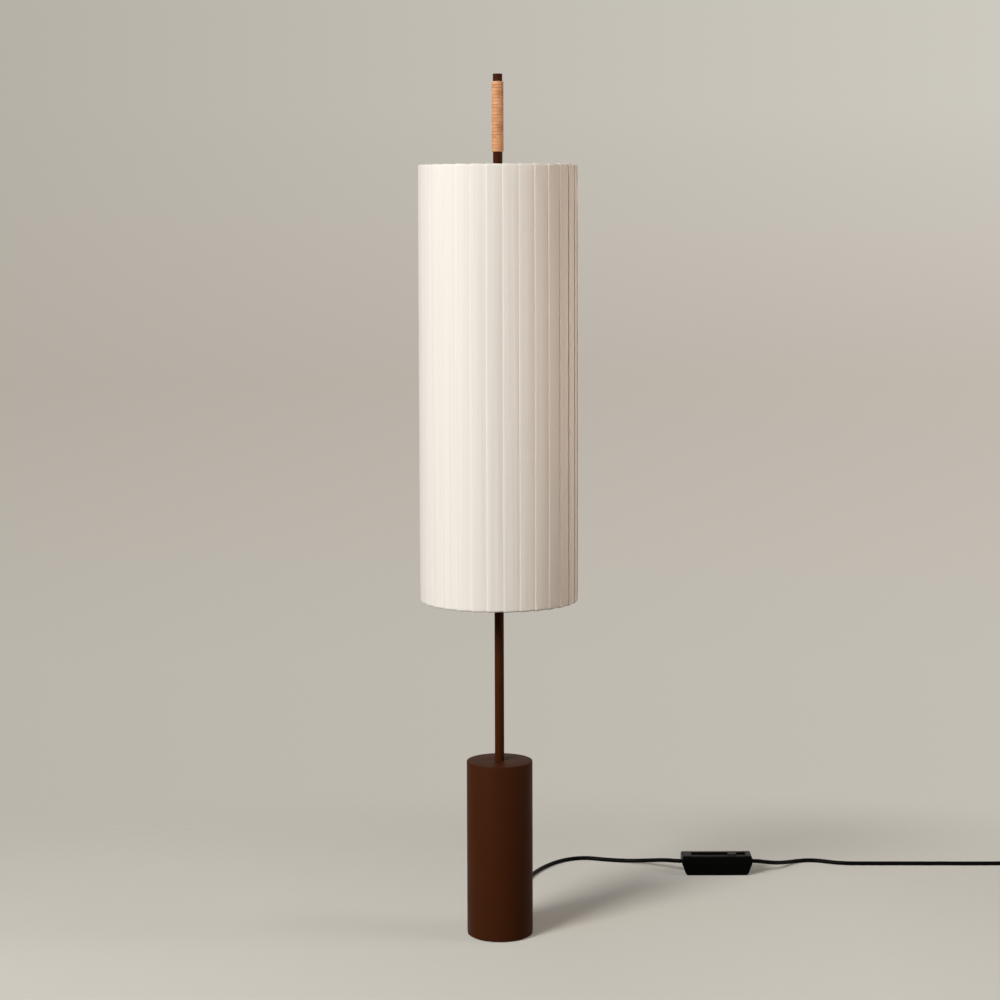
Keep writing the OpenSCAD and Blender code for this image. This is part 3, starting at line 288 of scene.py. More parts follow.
to_dimmer = laid([
    (0, 72, 12.9), (0, 84, 12.7), (0, 98, 11.2), (1, 112, 8.6), (2, 126, 5.6), (4, 140, 2.8),
    (6.5, 154, 1), (10, 168, 0.2), (14, 184, 0), (19, 200, 0), (24.5, 218, 0), (30, 236, 0),
    (36, 254, 0), (42, 272, 0), (48, 290, 0), (54, 307, 0), (61, 323, 0), (69.5, 339, 0),
    (79.5, 355, 0), (91, 369, 0), (105, 381, 0), (121, 388.5, 0), (138, 389.5, 0), (154, 384.5, 0),
    (170, 379, 0), (185, 375.5, 0), (199.5, 372, 0.4), (213, 366.5, 1.8), (225, 358, 4.4),
    (236, 347, 7.6), (246, 336, 10.8), (256, 325, 13.6), (267, 316, 15.2), (278, 313, 15.5),
])
to_coil = laid([
    (385, 313, 15.5), (396, 313, 14.8), (407, 316, 12.8), (418, 323, 10), (428.5, 333, 7),
    (438.5, 345, 4.2), (449.5, 357, 1.8), (462, 367, 0.4), (477, 372.5, 0), (492.5, 371, 0),
    (507.5, 364.5, 0), (522.5, 358, 0), (539, 354.5, 0), (557, 353.5, 0), (575.5, 353.5, 0),
    (594, 353, 0), (612, 353, 0), (630, 352.5, 0), (648, 352.5, 0), (666, 352, 0), (684, 352, 0),
    (702, 351.5, 0), (720, 351, 0), (738, 351, 0), (756, 351, 0), (774, 351, 0), (792, 351, 0),
    (810, 351, 0.2), (824, 351, 0.7), (833.8, 351, 0.8),
])
tail = laid([
    (846.2, 351, 7.6), (860, 351, 7), (873, 348, 5.2), (885, 342, 3), (895, 332, 1.2),
    (901, 320, 0.4), (904, 307, 0.7), (905, 294, 2), (905, 282, 3.3), (905, 270, 3.9),
])

# The coil winds in on the floor, climbs a layer in its middle turn and winds out again
COIL_TURNS, COIL_SIDES, COIL_R, COIL_STEP, COIL_LIFT = 5, 24, 42.5, 6.8, 0.8
COIL_X, RUN_IN_Y = 840, 351
COIL_Y = RUN_IN_Y - COIL_R
coil = []
for i in range(COIL_TURNS * COIL_SIDES + 1):
    turns = i / COIL_SIDES - COIL_TURNS / 2
    angle = math.radians(90 - 360 / COIL_SIDES * i)
    reach = COIL_R - COIL_STEP * (COIL_TURNS / 2 - abs(turns))
    climb = min(max(turns * 2 + 0.5, 0), 1)
    coil.append((COIL_X + reach * math.cos(angle), COIL_Y + reach * math.sin(angle),
                 COIL_LIFT + COIL_STEP * climb))


def lead(name, points, stands_for):
    """A length of the mains lead along its points."""
    line = bpy.data.meshes.new(name)
    line.from_pydata(points, [(i, i + 1) for i in range(len(points) - 1)], [])
    sheathed = grown(name, line, lead_tree,
                     {"Diameter": LEAD_D, "Step": LEAD_STEP, "Finish": pvc})
    return settled(sheathed, "lamp", stands_for)


lead_to_dimmer = lead("lead_to_dimmer", to_dimmer, ["cord_to_dimmer"])
plug_line = to_coil + laid(coil) + tail
lead_to_plug = lead("lead_to_plug", plug_line, ["cord_to_coil", "cord_coil", "cord_tail"])


# Base
# A steel tube with a top welded on, turned and coated in satin brown powder. It stands on a
# rubber pad under its bottom plate, and a cast weight inside holds the foot of the stem.
CASING_R, CASING_WALL, CASING_FOOT, CASING_TOP, CASING_ROOF = 46, 1.5, 5, 247, 4
CASING_EDGE_R, STEM_HOLE_R = 1.2, 6.55


def rounded(outline, ease=0.3):
    """An outline with each corner rounded, to its own third number or to ease, in millimetres.

    A corner on the axis, or one that hardly turns, stays as it is.
    """
    steps, straight, longest = 4, math.radians(82), 0.45
    made = []
    for i, corner in enumerate(outline):
        here = Vector(corner[:2])
        back, on = (Vector(outline[j][:2]) - here for j in (i - 1, (i + 1) % len(outline)))
        half = back.angle(on) / 2
        if abs(here.x) < 1e-6 or half > straight:
            made.append(here)
            continue
        radius = corner[2] if len(corner) > 2 else ease
        run = min(radius / math.tan(half), longest * back.length, longest * on.length)
        start, end = here + back.normalized() * run, here + on.normalized() * run
        centre = here + (back.normalized() + on.normalized()).normalized() * run / math.cos(half)
        made += [centre + ((start - centre) * (steps - k) + (end - centre) * k).normalized()
                 * run * math.tan(half) for k in range(steps + 1)]
    return made


def skinned(name, rings, finish, body, stands_for, loop=False, place=Matrix()):
    """A closed piece over rings of points in millimetres, capped at both ends or in a loop."""
    mesh = bpy.data.meshes.new(name)
    shape = bmesh.new()
    rows = [[shape.verts.new(place @ (Vector(p) / 1000)) for p in ring] for ring in rings]
    n = len(rows[0])
    for low, high in zip(rows, rows[1:] + rows[:1] if loop else rows[1:]):
        for j in range(n):
            shape.faces.new((low[j], low[(j + 1) % n], high[(j + 1) % n], high[j]))
    if not loop:
        shape.faces.new(rows[0])
        shape.faces.new(rows[-1])
    bmesh.ops.remove_doubles(shape, verts=shape.verts, dist=1e-7)
    bmesh.ops.delete(shape, geom=[e for e in shape.edges if not e.link_faces], context="EDGES")
    bmesh.ops.recalc_face_normals(shape, faces=shape.faces)
    shape.to_mesh(mesh)
    shape.free()
    mesh.materials.append(finish)
    mesh.shade_smooth()
    obj = bpy.data.objects.new(name, mesh)
    scene.collection.objects.link(obj)
    return settled(obj, body, stands_for)


def turned(name, outline, finish, body, stands_for, sides=64, place=Matrix()):
    """A piece turned on a lathe: its outline, radius and height in millimetres, about Z."""
    rings = []
    for k in range(sides):
        angle = 2 * math.pi * k / sides
        rings.append([(r * math.cos(angle), r * math.sin(angle), z) for r, z in outline])
    return skinned(name, rings, finish, body, stands_for, loop=True, place=place)


def mottled(name, dark, light, patch, roughness, grain, relief, sockets=()):
    """A finish that wanders between two hex colours in patches, over a fine grain.

    The sizes of the patches and of the grain, and the grain's relief, are in millimetres. The
    gloss wanders with the patches.
    """
    wander = 0.05
    made, tree, shader = new_finish(name, sockets)
    place = add(tree, "ShaderNodeTexCoord").outputs["Object"]
    patches = add(tree, "ShaderNodeTexNoise",
                  {"Vector": place, "Scale": 1000 / patch, "Detail": 3}).outputs["Fac"]
    colour = add(tree, "ShaderNodeMix", {0: patches, 6: linear(dark), 7: linear(light)},
                 data_type="RGBA")
    grains = add(tree, "ShaderNodeTexNoise",
                 {"Vector": place, "Scale": 1000 / grain, "Detail": 2}).outputs["Fac"]
    bump = add(tree, "ShaderNodeBump", {"Height": grains, "Distance": relief / 1000})
    gloss = add(tree, "ShaderNodeMapRange", {
        "Value": patches, "From Min": 0.3, "From Max": 0.7,
        "To Min": roughness - wander, "To Max": roughness + wander})
    tree.links.new(colour.outputs[2], shader.inputs["Base Color"])
    tree.links.new(gloss.outputs[0], shader.inputs["Roughness"])
    tree.links.new(bump.outputs[0], shader.inputs["Normal"])
    return made


# Powder coat: a thin, slightly uneven skin of baked polyester with a satin sheen and a very
# fine orange-peel texture, about half a millimetre from dimple to dimple.
powder = mottled("satin powder coat on steel", "#3a1b08", "#401e09", 45, 0.5, 0.5, 0.015,
                 {"Specular IOR Level": 0.06})
bore, under_roof = CASING_R - CASING_WALL, CASING_TOP - CASING_ROOF
turned("casing", rounded([
    (STEM_HOLE_R, under_roof), (bore, under_roof), (bore, CASING_FOOT), (CASING_R, CASING_FOOT),
    (CASING_R, CASING_TOP, CASING_EDGE_R), (STEM_HOLE_R, CASING_TOP),
]), powder, "lamp", ["base_casing"], sides=192)


def painted(finish, *nodes):
    """The CAD nodes keep their shape and take this finish."""
    for node in nodes:
        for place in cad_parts[node].material_slots:
            place.material = finish


# Matt nitrile rubber, near black
rubber = mottled("moulded rubber", "#0b0a0a", "#100f0e", 9, 0.8, 0.6, 0.03,
                 {"Specular IOR Level": 0.1})
# Sand-cast iron: dull, dark and grainy, from the mould
cast_iron = mottled("sand-cast iron", "#3b3b3d", "#4d4c4c", 6, 0.7, 0.9, 0.12, {"Metallic": 0.6})
# Bright zinc on turned and stamped steel
zinc = mottled("zinc-plated steel", "#8f9296", "#a9acb0", 3, 0.36, 0.25, 0.006, {"Metallic": 1})
painted(rubber, "foot_pad")
painted(cast_iron, "ballast_weight")
painted(powder, "base_plate")
painted(zinc, "plate_screws", "stem_washer", "stem_locknut")
# Soft black PVC, moulded round the lead: duller than the sheath
moulded_pvc = mottled("moulded PVC", "#0d0d0e", "#141415", 5, 0.55, 0.4, 0.02,
                      {"Specular IOR Level": 0.25})
painted(moulded_pvc, "cord_gland", "strain_relief")


# Stem
# One drawn steel tube from the weight in the base up to the shade's top, coated like the base.
# A rod of the same tube is screwed to its top with a zinc-plated stud, and ends in a turned steel
# cap. The lead runs up inside.
STEM_R, STEM_BORE, STEM_FOOT, STEM_TOP = 6.5, 5.5, 44, 1068.5
ROD_TOP, CAP_TOP, CAP_EDGE_R, CAP_PLUG_R, CAP_PLUG_L = 1194, 1200, 0.8, 5.45, 16

for name, low, high, node in (("stem", STEM_FOOT, STEM_TOP, "stem_tube"),
                              ("rod", STEM_TOP, ROD_TOP, "handle_rod")):
    turned(name, rounded([(STEM_BORE, low), (STEM_R, low), (STEM_R, high), (STEM_BORE, high)]),
           powder, "lamp", [node])
turned("cap", rounded([
    (0, ROD_TOP - CAP_PLUG_L), (CAP_PLUG_R, ROD_TOP - CAP_PLUG_L), (CAP_PLUG_R, ROD_TOP, 0.1),
    (STEM_R, ROD_TOP), (STEM_R, CAP_TOP, CAP_EDGE_R), (0, CAP_TOP),
]), powder, "lamp", ["end_cap"])
painted(zinc, "handle_stud")
painted(pvc, "inner_lead")


# Grip
# A lace of natural vegetable-tanned leather, wound up the rod from the back in twenty-one close
# turns and glued. It is two fine strands wide, so each turn has a shallow groove along its middle.
GRIP_Z, GRIP_TURNS, GRIP_STEP, GRIP_R = 1093.7, 21, 4.57, 6.6
GRIP_WANDER, WANDER_SCALE = 0.2, 90.0
# The share of a turn, at each of its ends, over which it steps up to the next one
STEP_UP = 0.22

grip_tree, given = new_tree("lace wound up a rod", {
    "Turns": "Float", "Step": "Float", "Radius": "Float", "Foot": "Float", "Wander": "Float"})
rise = add(grip_tree, "ShaderNodeMath", {0: given["Turns"], 1: given["Step"]}, operation="MULTIPLY")
wind = add(grip_tree, "GeometryNodeCurveSpiral", {
    "Resolution": 40, "Rotations": given["Turns"], "Start Radius": given["Radius"],
    "End Radius": given["Radius"], "Height": rise, "Reverse": True})
foot = add(grip_tree, "ShaderNodeCombineXYZ", {"Z": given["Foot"]})
wind = add(grip_tree, "GeometryNodeTransform",
           {0: wind, "Translation": foot, "Rotation": (0, 0, math.pi / 2)})
run = add(grip_tree, "GeometryNodeSplineParameter")
wind = add(grip_tree, "GeometryNodeStoreNamedAttribute",
           {0: wind, "Name": "along", "Value": run.outputs["Length"]})
# Each turn lies level over the front and steps up at the back
turn = add(grip_tree, "ShaderNodeMath", {0: run.outputs["Factor"], 1: given["Turns"]},
           operation="MULTIPLY")
part = add(grip_tree, "ShaderNodeMath", {0: turn}, operation="FRACT")
leave = add(grip_tree, "ShaderNodeMapRange", {"Value": part, "From Max": STEP_UP, "To Max": 0.5},
            interpolation_type="SMOOTHSTEP")
reach = add(grip_tree, "ShaderNodeMapRange",
            {"Value": part, "From Min": 1 - STEP_UP, "To Max": 0.5},
            interpolation_type="SMOOTHSTEP")
level = add(grip_tree, "ShaderNodeMath", {0: leave, 1: reach}, operation="ADD")
level = add(grip_tree, "ShaderNodeMath", {0: level, 1: part}, operation="SUBTRACT")
step = add(grip_tree, "ShaderNodeMath", {0: level, 1: given["Step"]}, operation="MULTIPLY")
step = add(grip_tree, "ShaderNodeCombineXYZ", {"Z": step})
wind = add(grip_tree, "GeometryNodeSetPosition", {0: wind, "Offset": step})
# A hand-wound lace strays a little from its line, every centimetre or so
wobble = add(grip_tree, "ShaderNodeTexNoise", {"Scale": WANDER_SCALE, "Detail": 1})
stray = add(grip_tree, "ShaderNodeVectorMath", {0: wobble.outputs["Color"], 1: (0.5, 0.5, 0.5)},
            operation="SUBTRACT")
stray = add(grip_tree, "ShaderNodeVectorMath", {0: stray, "Scale": given["Wander"]},
            operation="SCALE")
wind = add(grip_tree, "GeometryNodeSetPosition", {0: wind, "Offset": stray})
wind = add(grip_tree, "GeometryNodeSetCurveNormal", {0: wind}, mode="Z_UP")
lace = add(grip_tree, "GeometryNodeCurveToMesh", {
    0: wind, 1: add(grip_tree, "GeometryNodeMeshToCurve", {0: given["Geometry"]}),
    "Fill Caps": True})
# The winding turns the section inside out, so its faces are turned back
lace = add(grip_tree, "GeometryNodeFlipFaces", {0: lace})
end_tree(grip_tree, lace, given["Finish"])

# Half of the lace's section, out from the rod and along it: flat below, with a rounded back that
# dips at the middle
HALF = [(0, 2.18), (0.85, 2.23), (1.2, 2.16), (1.45, 1.9), (1.58, 1.48), (1.62, 1.1), (1.58, 0.7),
        (1.45, 0.35), (1.3, 0.1)]
section = [(out / 1000, high / 1000, 0) for out, high in HALF]
section += [(out / 1000, -high / 1000, 0) for out, high in reversed(HALF)]
lace_section = bpy.data.meshes.new("lace_section")
lace_section.from_pydata(section, [(i, (i + 1) % len(section)) for i in range(len(section))], [])

# Leather: honey coloured, with a fibrous face, and paler and darker stretches every few
# centimetres of the lace.
STRETCH, FIBRE_L, FIBRE_W, FIBRE_DEPTH = 22, 2.5, 0.5, 0.1
leather, tree, shader = new_finish("vegetable-tanned leather", {
    "Roughness": 0.62, "IOR": 1.45, "Specular IOR Level": 0.3})
along = add(tree, "ShaderNodeAttribute", attribute_name="along").outputs["Fac"]
paced = add(tree, "ShaderNodeMath", {0: along, 1: 1000 / STRETCH}, operation="MULTIPLY")
stretches = add(tree, "ShaderNodeTexNoise", {"W": paced, "Scale": 1, "Detail": 2},
                noise_dimensions="1D").outputs["Fac"]
place = add(tree, "ShaderNodeTexCoord").outputs["Object"]
drawn_out = add(tree, "ShaderNodeVectorMath", {
    0: place, 1: (1000 / FIBRE_L, 1000 / FIBRE_L, 1000 / FIBRE_W)}, operation="MULTIPLY")
fibre = add(tree, "ShaderNodeTexNoise",
            {"Vector": drawn_out, "Scale": 1, "Detail": 3}).outputs["Fac"]
blend = add(tree, "ShaderNodeMath", {0: fibre, 1: stretches}, operation="ADD")
blend = add(tree, "ShaderNodeMath", {0: blend, 1: 0.5}, operation="MULTIPLY")
hide = linear("#b9784d")
for low, high, lighter in ((0.3, 0.5, "#d59b6d"), (0.5, 0.72, "#e4b590")):
    pale = add(tree, "ShaderNodeMapRange", {"Value": blend, "From Min": low, "From Max": high})
    hide = add(tree, "ShaderNodeMix", {0: pale, 6: hide, 7: linear(lighter)},
               data_type="RGBA").outputs[2]
bump = add(tree, "ShaderNodeBump", {"Height": fibre, "Distance": FIBRE_DEPTH / 1000})
tree.links.new(hide, shader.inputs["Base Color"])
tree.links.new(bump.outputs[0], shader.inputs["Normal"])

grip = grown("grip", lace_section, grip_tree, {
    "Turns": GRIP_TURNS, "Step": GRIP_STEP / 1000, "Radius": GRIP_R / 1000,
    "Foot": GRIP_Z / 1000, "Wander": GRIP_WANDER / 1000, "Finish": leather})
settled(grip, "lamp", ["grip_wrap"])


# Shade
# Thirty-one flat woven ribbons stretched from the top ring to the bottom ring. Each one's left
# edge lies over its neighbour's right edge, and both of its ends are folded round the rings.
RING_R, RING_LOW, RING_HIGH, SHADE_R = 104.8, 477.3, 1071.7, 110
RIBBONS, RIBBON_W, RIBBON_T, LAP_GAP = 31, 25, 0.8, 0.2
RIBBON_SPAN = RIBBON_W / SHADE_R
FALL = (RIBBON_T + LAP_GAP) * RIBBON_SPAN * RIBBONS / (2 * math.pi)
FIRST_EDGE = math.radians(-90 + 3.2)
# Each fold is a rounded square about its ring's wire, as far out as FOLD_R and squarer with
# FOLD_N, in steps of ten degrees. A hem lies inside, and there are sixty lengths between the folds.
FOLD_R, FOLD_N, FOLD_STEP, HEM, LENGTHS = 4.8, 3.5, 10, 12, 60
# Between the rings the ribbon bows out over the share of its width that no neighbour covers, and
# the edge that lies on top curls up over a narrower share. Each leans by up to LEAN either way.
BOW, BOWED, CURL, CURLED = 0.45, 0.88, 0.3, 0.3
LEAN = math.radians(0.12)

# Stations along a ribbon: height of the centre, turn about it in degrees, share of the way up
stations = [(RING_HIGH - HEM, 180, 1)]
stations += [(RING_HIGH, turn, 1) for turn in range(180, -1, -FOLD_STEP)]
stations += [(RING_HIGH + (RING_LOW - RING_HIGH) * k / LENGTHS, 0, 1 - k / LENGTHS)
             for k in range(1, LENGTHS)]
stations += [(RING_LOW, -turn, 0) for turn in range(0, 181, FOLD_STEP)]
stations += [(RING_LOW + HEM, -180, 0)]

# The ribbon's section: share of its width from the raised edge, which is rolled over softly, and
# depth below its face in millimetres
FACE = [(0, 0.5), (0.01, 0.36), (0.025, 0.23), (0.045, 0.13), (0.07, 0.06), (0.1, 0.02), (0.14, 0),
        (0.24, 0), (0.36, 0), (0.5, 0), (0.64, 0), (0.78, 0), (0.9, 0), (0.98, 0), (0.994, 0.08),
        (1, 0.25)]
BACK = [(1, 0.55), (0.994, 0.72), (0.98, RIBBON_T), (0.78, RIBBON_T), (0.5, RIBBON_T),
        (0.24, RIBBON_T), (0.05, RIBBON_T), (0.006, RIBBON_T), (0, 0.7)]
section = FACE + BACK
middle = FACE.index((0.5, 0))

ribbon = bpy.data.meshes.new("ribbon")
shape = bmesh.new()
uv = shape.loops.layers.uv.new("UVMap")
rows, runs, run = [], [], 0
before = None
for centre, turn, share in stations:
    row = []
    cos, sin = math.cos(math.radians(turn)), math.sin(math.radians(turn))
    square = (abs(cos) ** FOLD_N + abs(sin) ** FOLD_N) ** (-1 / FOLD_N)
    # The rings hold the ribbon flat at its ends, and it is free between them
    free = 1 - abs(2 * share - 1) ** 8
    for u, depth in section:
        bow = BOW * free * max(0, 4 * (u / BOWED) * (1 - u / BOWED))
        curl = CURL * free * max(0, 1 - u / CURLED) ** 2
        reach = FOLD_R - u * FALL - depth + bow + curl
        r = RING_R + reach * square * cos
        angle = FIRST_EDGE + u * RIBBON_SPAN
        row.append((r * math.cos(angle), r * math.sin(angle), centre + reach * square * sin))
    if before:
        run += (Vector(row[middle]) - Vector(before[middle])).length / 1000
    before = row
    rows.append([shape.verts.new(Vector(p) / 1000) for p in row])
    runs.append(run)
n = len(section)
for k in range(len(rows) - 1):
    for j in range(n):
        i = (j + 1) % n
        face = shape.faces.new((rows[k][j], rows[k][i], rows[k + 1][i], rows[k + 1][j]))
        for loop, (s, t) in zip(face.loops, ((k, j), (k, i), (k + 1, i), (k + 1, j))):
            loop[uv].uv = (section[t][0] * RIBBON_W / 1000, runs[s])
for row in (rows[0], rows[-1]):
    shape.faces.new(row)
bmesh.ops.recalc_face_normals(shape, faces=shape.faces)
shape.to_mesh(ribbon)
shape.free()

shade_tree, given = new_tree("ribbons round the rings", {
    "Count": "Int", "Lean": "Float", "Seed": "Int"})
number = add(shade_tree, "GeometryNodeInputIndex")
line = add(shade_tree, "GeometryNodeMeshLine", {"Count": given["Count"], "Offset": (0, 0, 0)})
pitch = add(shade_tree, "ShaderNodeMath", {0: 2 * math.pi, 1: given["Count"]}, operation="DIVIDE")
turn = add(shade_tree, "ShaderNodeMath", {0: number, 1: pitch}, operation="MULTIPLY")
slack = add(shade_tree, "ShaderNodeMath", {0: given["Lean"], 1: -1}, operation="MULTIPLY")
lean = add(shade_tree, "FunctionNodeRandomValue",
           {2: slack, 3: given["Lean"], "ID": number, "Seed": given["Seed"]}, data_type="FLOAT")
turn = add(shade_tree, "ShaderNodeMath", {0: turn, 1: lean.outputs[1]}, operation="ADD")
spin = add(shade_tree, "ShaderNodeCombineXYZ", {"Z": turn})
ring = add(shade_tree, "GeometryNodeInstanceOnPoints",
           {"Points": line, "Instance": given["Geometry"], "Rotation": spin})
tone = add(shade_tree, "FunctionNodeRandomValue", {2: 0.0, 3: 1.0, "ID": number, "Seed": 7},
           data_type="FLOAT")
ring = add(shade_tree, "GeometryNodeStoreNamedAttribute",
           {0: ring, "Name": "tone", "Value": tone.outputs[1]}, domain="INSTANCE")
end_tree(shade_tree, ring, given["Finish"])

# Woven ribbon, warm white: warp threads run its whole length, about two to the millimetre, and
# the weft crosses them. Both are drawn at over twice their size, or they would not show. Long
# faint streaks follow the warp, where one thread is paler than the next.
THREAD, STREAK_W, STREAK_L, CLOTH_DEPTH = 1.2, 3, 400, 0.1
THREAD_SHARE = 0.6
ribbon_cloth, tree, shader = new_finish("woven cotton ribbon", {
    "Roughness": 0.85, "IOR": 1.45, "Sheen Weight": 0.15, "Sheen Roughness": 0.5})
uv_map = add(tree, "ShaderNodeUVMap", uv_map="UVMap").outputs[0]
tone = add(tree, "ShaderNodeAttribute", attribute_name="tone").outputs["Fac"]
# Each ribbon takes its streaks from another layer of the noise, well away from the others'
layer = add(tree, "ShaderNodeMath", {0: tone, 1: 50.0}, operation="MULTIPLY")
layer = add(tree, "ShaderNodeCombineXYZ", {"Z": layer})
cloth_place = add(tree, "ShaderNodeVectorMath", {0: uv_map, 1: layer}, operation="ADD")
drawn_out = add(tree, "ShaderNodeVectorMath", {
    0: cloth_place, 1: (1000 / STREAK_W, 1000 / STREAK_L, 1)}, operation="MULTIPLY")
streaks = add(tree, "ShaderNodeTexNoise",
              {"Vector": drawn_out, "Scale": 1, "Detail": 3}).outputs["Fac"]
cloth = add(tree, "ShaderNodeMix", {0: streaks, 6: linear("#dfd9d0"), 7: linear("#f1ece5")},
            data_type="RGBA")
# At a scale of one a wave texture's bands lie pi / 10 of a metre apart
warp, weft = (add(tree, "ShaderNodeTexWave", {
    "Vector": uv_map, "Scale": 1000 / THREAD * math.pi / 10, "Distortion": 0.6, "Detail": 1},
    bands_direction=way).outputs["Fac"] for way in "XY")
threads = add(tree, "ShaderNodeMath", {0: warp, 1: weft}, operation="MULTIPLY")
threads = add(tree, "ShaderNodeMath", {0: threads, 1: THREAD_SHARE}, operation="MULTIPLY")
relief = add(tree, "ShaderNodeMath", {0: threads, 1: streaks}, operation="ADD")
bump = add(tree, "ShaderNodeBump", {"Height": relief, "Distance": CLOTH_DEPTH / 1000})
tree.links.new(cloth.outputs[2], shader.inputs["Base Color"])
tree.links.new(bump.outputs[0], shader.inputs["Normal"])

ribbons = grown("ribbons", ribbon, shade_tree, {
    "Count": RIBBONS, "Lean": LEAN, "Seed": 3, "Finish": ribbon_cloth})
settled(ribbons, "shade", ["shade_ribbons"])


# Shade frame
# Steel wire rings, rods and spiders, welded and coated in off-white. The two hubs slip on the
# stem, and the lower one turns on a nylon washer over a steel collar.

# Off-white powder coat: a satin skin like the base's, a little glossier on the thin wire
enamel = mottled("off-white powder coat", "#d5d1c8", "#dedad2", 30, 0.42, 0.5, 0.012)
painted(enamel, "top_spider", "bottom_spider", "frame_rods", "top_ring", "bottom_ring")
painted(zinc, "shade_collar", "grub_screws")
# Natural nylon: milky, a little soft in the light
nylon = mottled("turned nylon", "#e4e1d6", "#ece9df", 4, 0.4, 0.3, 0.008, {"IOR": 1.53})
painted(nylon, "shade_washer")


# Lampholders and bulbs
# Two white thermoplastic lampholders stand on the arms of two coated brackets, one to each side of
# the stem, each with a small opal globe bulb in its screw cap.
ARM_X, HOLDER_UP, GLOBE_UP = 45, 9, 53
HOLDER_R, HOLDER_H, HOLDER_BORE, WIRE_HOLE_R, HOLDER_FLOOR = 14, 50, 12, 2.7, 2
HOLDER_GROOVES, GROOVE_DEEP = (30, 34), 0.5
GLOBE_R, GLOBE_Z, NECK_R = 22.5, 29.5, 6.5

# Moulded thermoplastic: white, with a soft gloss and a barely uneven skin
thermoplastic = mottled("moulded thermoplastic", "#e3e2de", "#ebeae6", 12, 0.35, 0.6, 0.01,
                        {"IOR": 1.53})
# Stamped brass for the contacts and rolled aluminium for the screw caps, both with a soft shine
brass = mottled("stamped brass", "#b08d4a", "#c6a45f", 4, 0.3, 0.3, 0.006, {"Metallic": 1})
aluminium = mottled("rolled aluminium", "#a5a7aa", "#bbbdc0", 3, 0.32, 0.2, 0.006, {"Metallic": 1})
# Opal glass: dense white inside a thin clear gloss, which lets a little light spread in it
HAZE = 14
opal, tree, shader = new_finish("opal glass", {
    "Roughness": 0.14, "IOR": 1.52, "Subsurface Weight": 0.25,
    "Subsurface Radius": (0.004, 0.0036, 0.003), "Subsurface Scale": 1.0})
haze = add(tree, "ShaderNodeTexNoise", {"Vector": add(tree, "ShaderNodeTexCoord").outputs["Object"],
                                        "Scale": 1000 / HAZE, "Detail": 2}).outputs["Fac"]
dense = add(tree, "ShaderNodeMapRange", {"Value": haze, "From Min": 0.3, "From Max": 0.7})
milk = add(tree, "ShaderNodeMix", {0: dense, 6: linear("#ece8df"), 7: linear("#f5f2ec")},
           data_type="RGBA")
tree.links.new(milk.outputs[2], shader.inputs["Base Color"])
painted(enamel, "lower_bracket", "upper_bracket")
painted(brass, "lower_contacts", "upper_contacts")
painted(aluminium, "lower_bulb_cap", "upper_bulb_cap")
# Silicone sleeves over the wires from the stem to each holder: milky and dull
silicone = mottled("silicone sleeve", "#dcdad4", "#e6e4df", 6, 0.5, 0.5, 0.01)
painted(silicone, "lower_wires", "upper_wires")

# The globe narrows to its neck, and the holder's cup has two grooves round it for the fingers
globe = [(0, 0), (NECK_R, 0), (NECK_R + 0.2, 6.4, 5)]
globe += [(GLOBE_R * math.cos(math.radians(a)), GLOBE_Z + GLOBE_R * math.sin(math.radians(a)))
          for a in range(-60, 90, 6)]
globe += [(0, GLOBE_Z + GLOBE_R)]
cup = [(WIRE_HOLE_R, 0), (HOLDER_R, 0, 1.6)]
for z in HOLDER_GROOVES:
    cup += [(HOLDER_R, z), (HOLDER_R - GROOVE_DEEP, z + 0.5), (HOLDER_R - GROOVE_DEEP, z + 1.5),
            (HOLDER_R, z + 2)]
cup += [(HOLDER_R, HOLDER_H, 0.8), (HOLDER_BORE, HOLDER_H, 0.5), (HOLDER_BORE, HOLDER_FLOOR),
        (WIRE_HOLE_R, HOLDER_FLOOR)]
for level, side, arm_z in (("lower", 1, 576.5), ("upper", -1, 811.5)):
    holder_place, globe_place = (Matrix.Translation((side * ARM_X / 1000, 0, (arm_z + up) / 1000))
                                 for up in (HOLDER_UP, GLOBE_UP))
    turned(level + "_holder", rounded(cup, 0.2), thermoplastic, "lamp",
           [level + "_lampholder"], sides=96, place=holder_place)
    turned(level + "_globe", rounded(globe), opal, "lamp", [level + "_bulb"],
           sides=96, place=globe_place)


# Dimmer
# Two black ABS shells, screwed together, with a knob that slides in a channel along the top. The
# top has fine ribs across it beside the channel, and a smooth pad at each end.
DIMMER = Matrix.Translation((0.3315, 0.313, 0))
HALF_L, HALF_W, FOOT_HALF_L, PARTING, DIMMER_TOP = 53.5, 18.5, 46.5, 18.6, 30
COVER_ROUND, SHELL_ROUND, CORNER_R, FOOT_W = 3, 4, 3, 28
CHANNEL_FROM, CHANNEL_TO, CHANNEL_W, CHANNEL_FLOOR = 2.8 - 41.5, 2.8 + 41.5, 17, 27.5
SLOT_REACH, SLOT_W, SLOT_FLOOR = 27, 4, 22.0
RIBS, RIB_PITCH, GROOVE_W, GROOVE_T = 25, 3.2, 1.28, 0.8
FLANK, BRINK = 0.06, 0.02  # how far a groove's flank and a channel's end lean
KNOB_X, KNOB_W, KNOB_EASE = 23.5, 16, 0.4
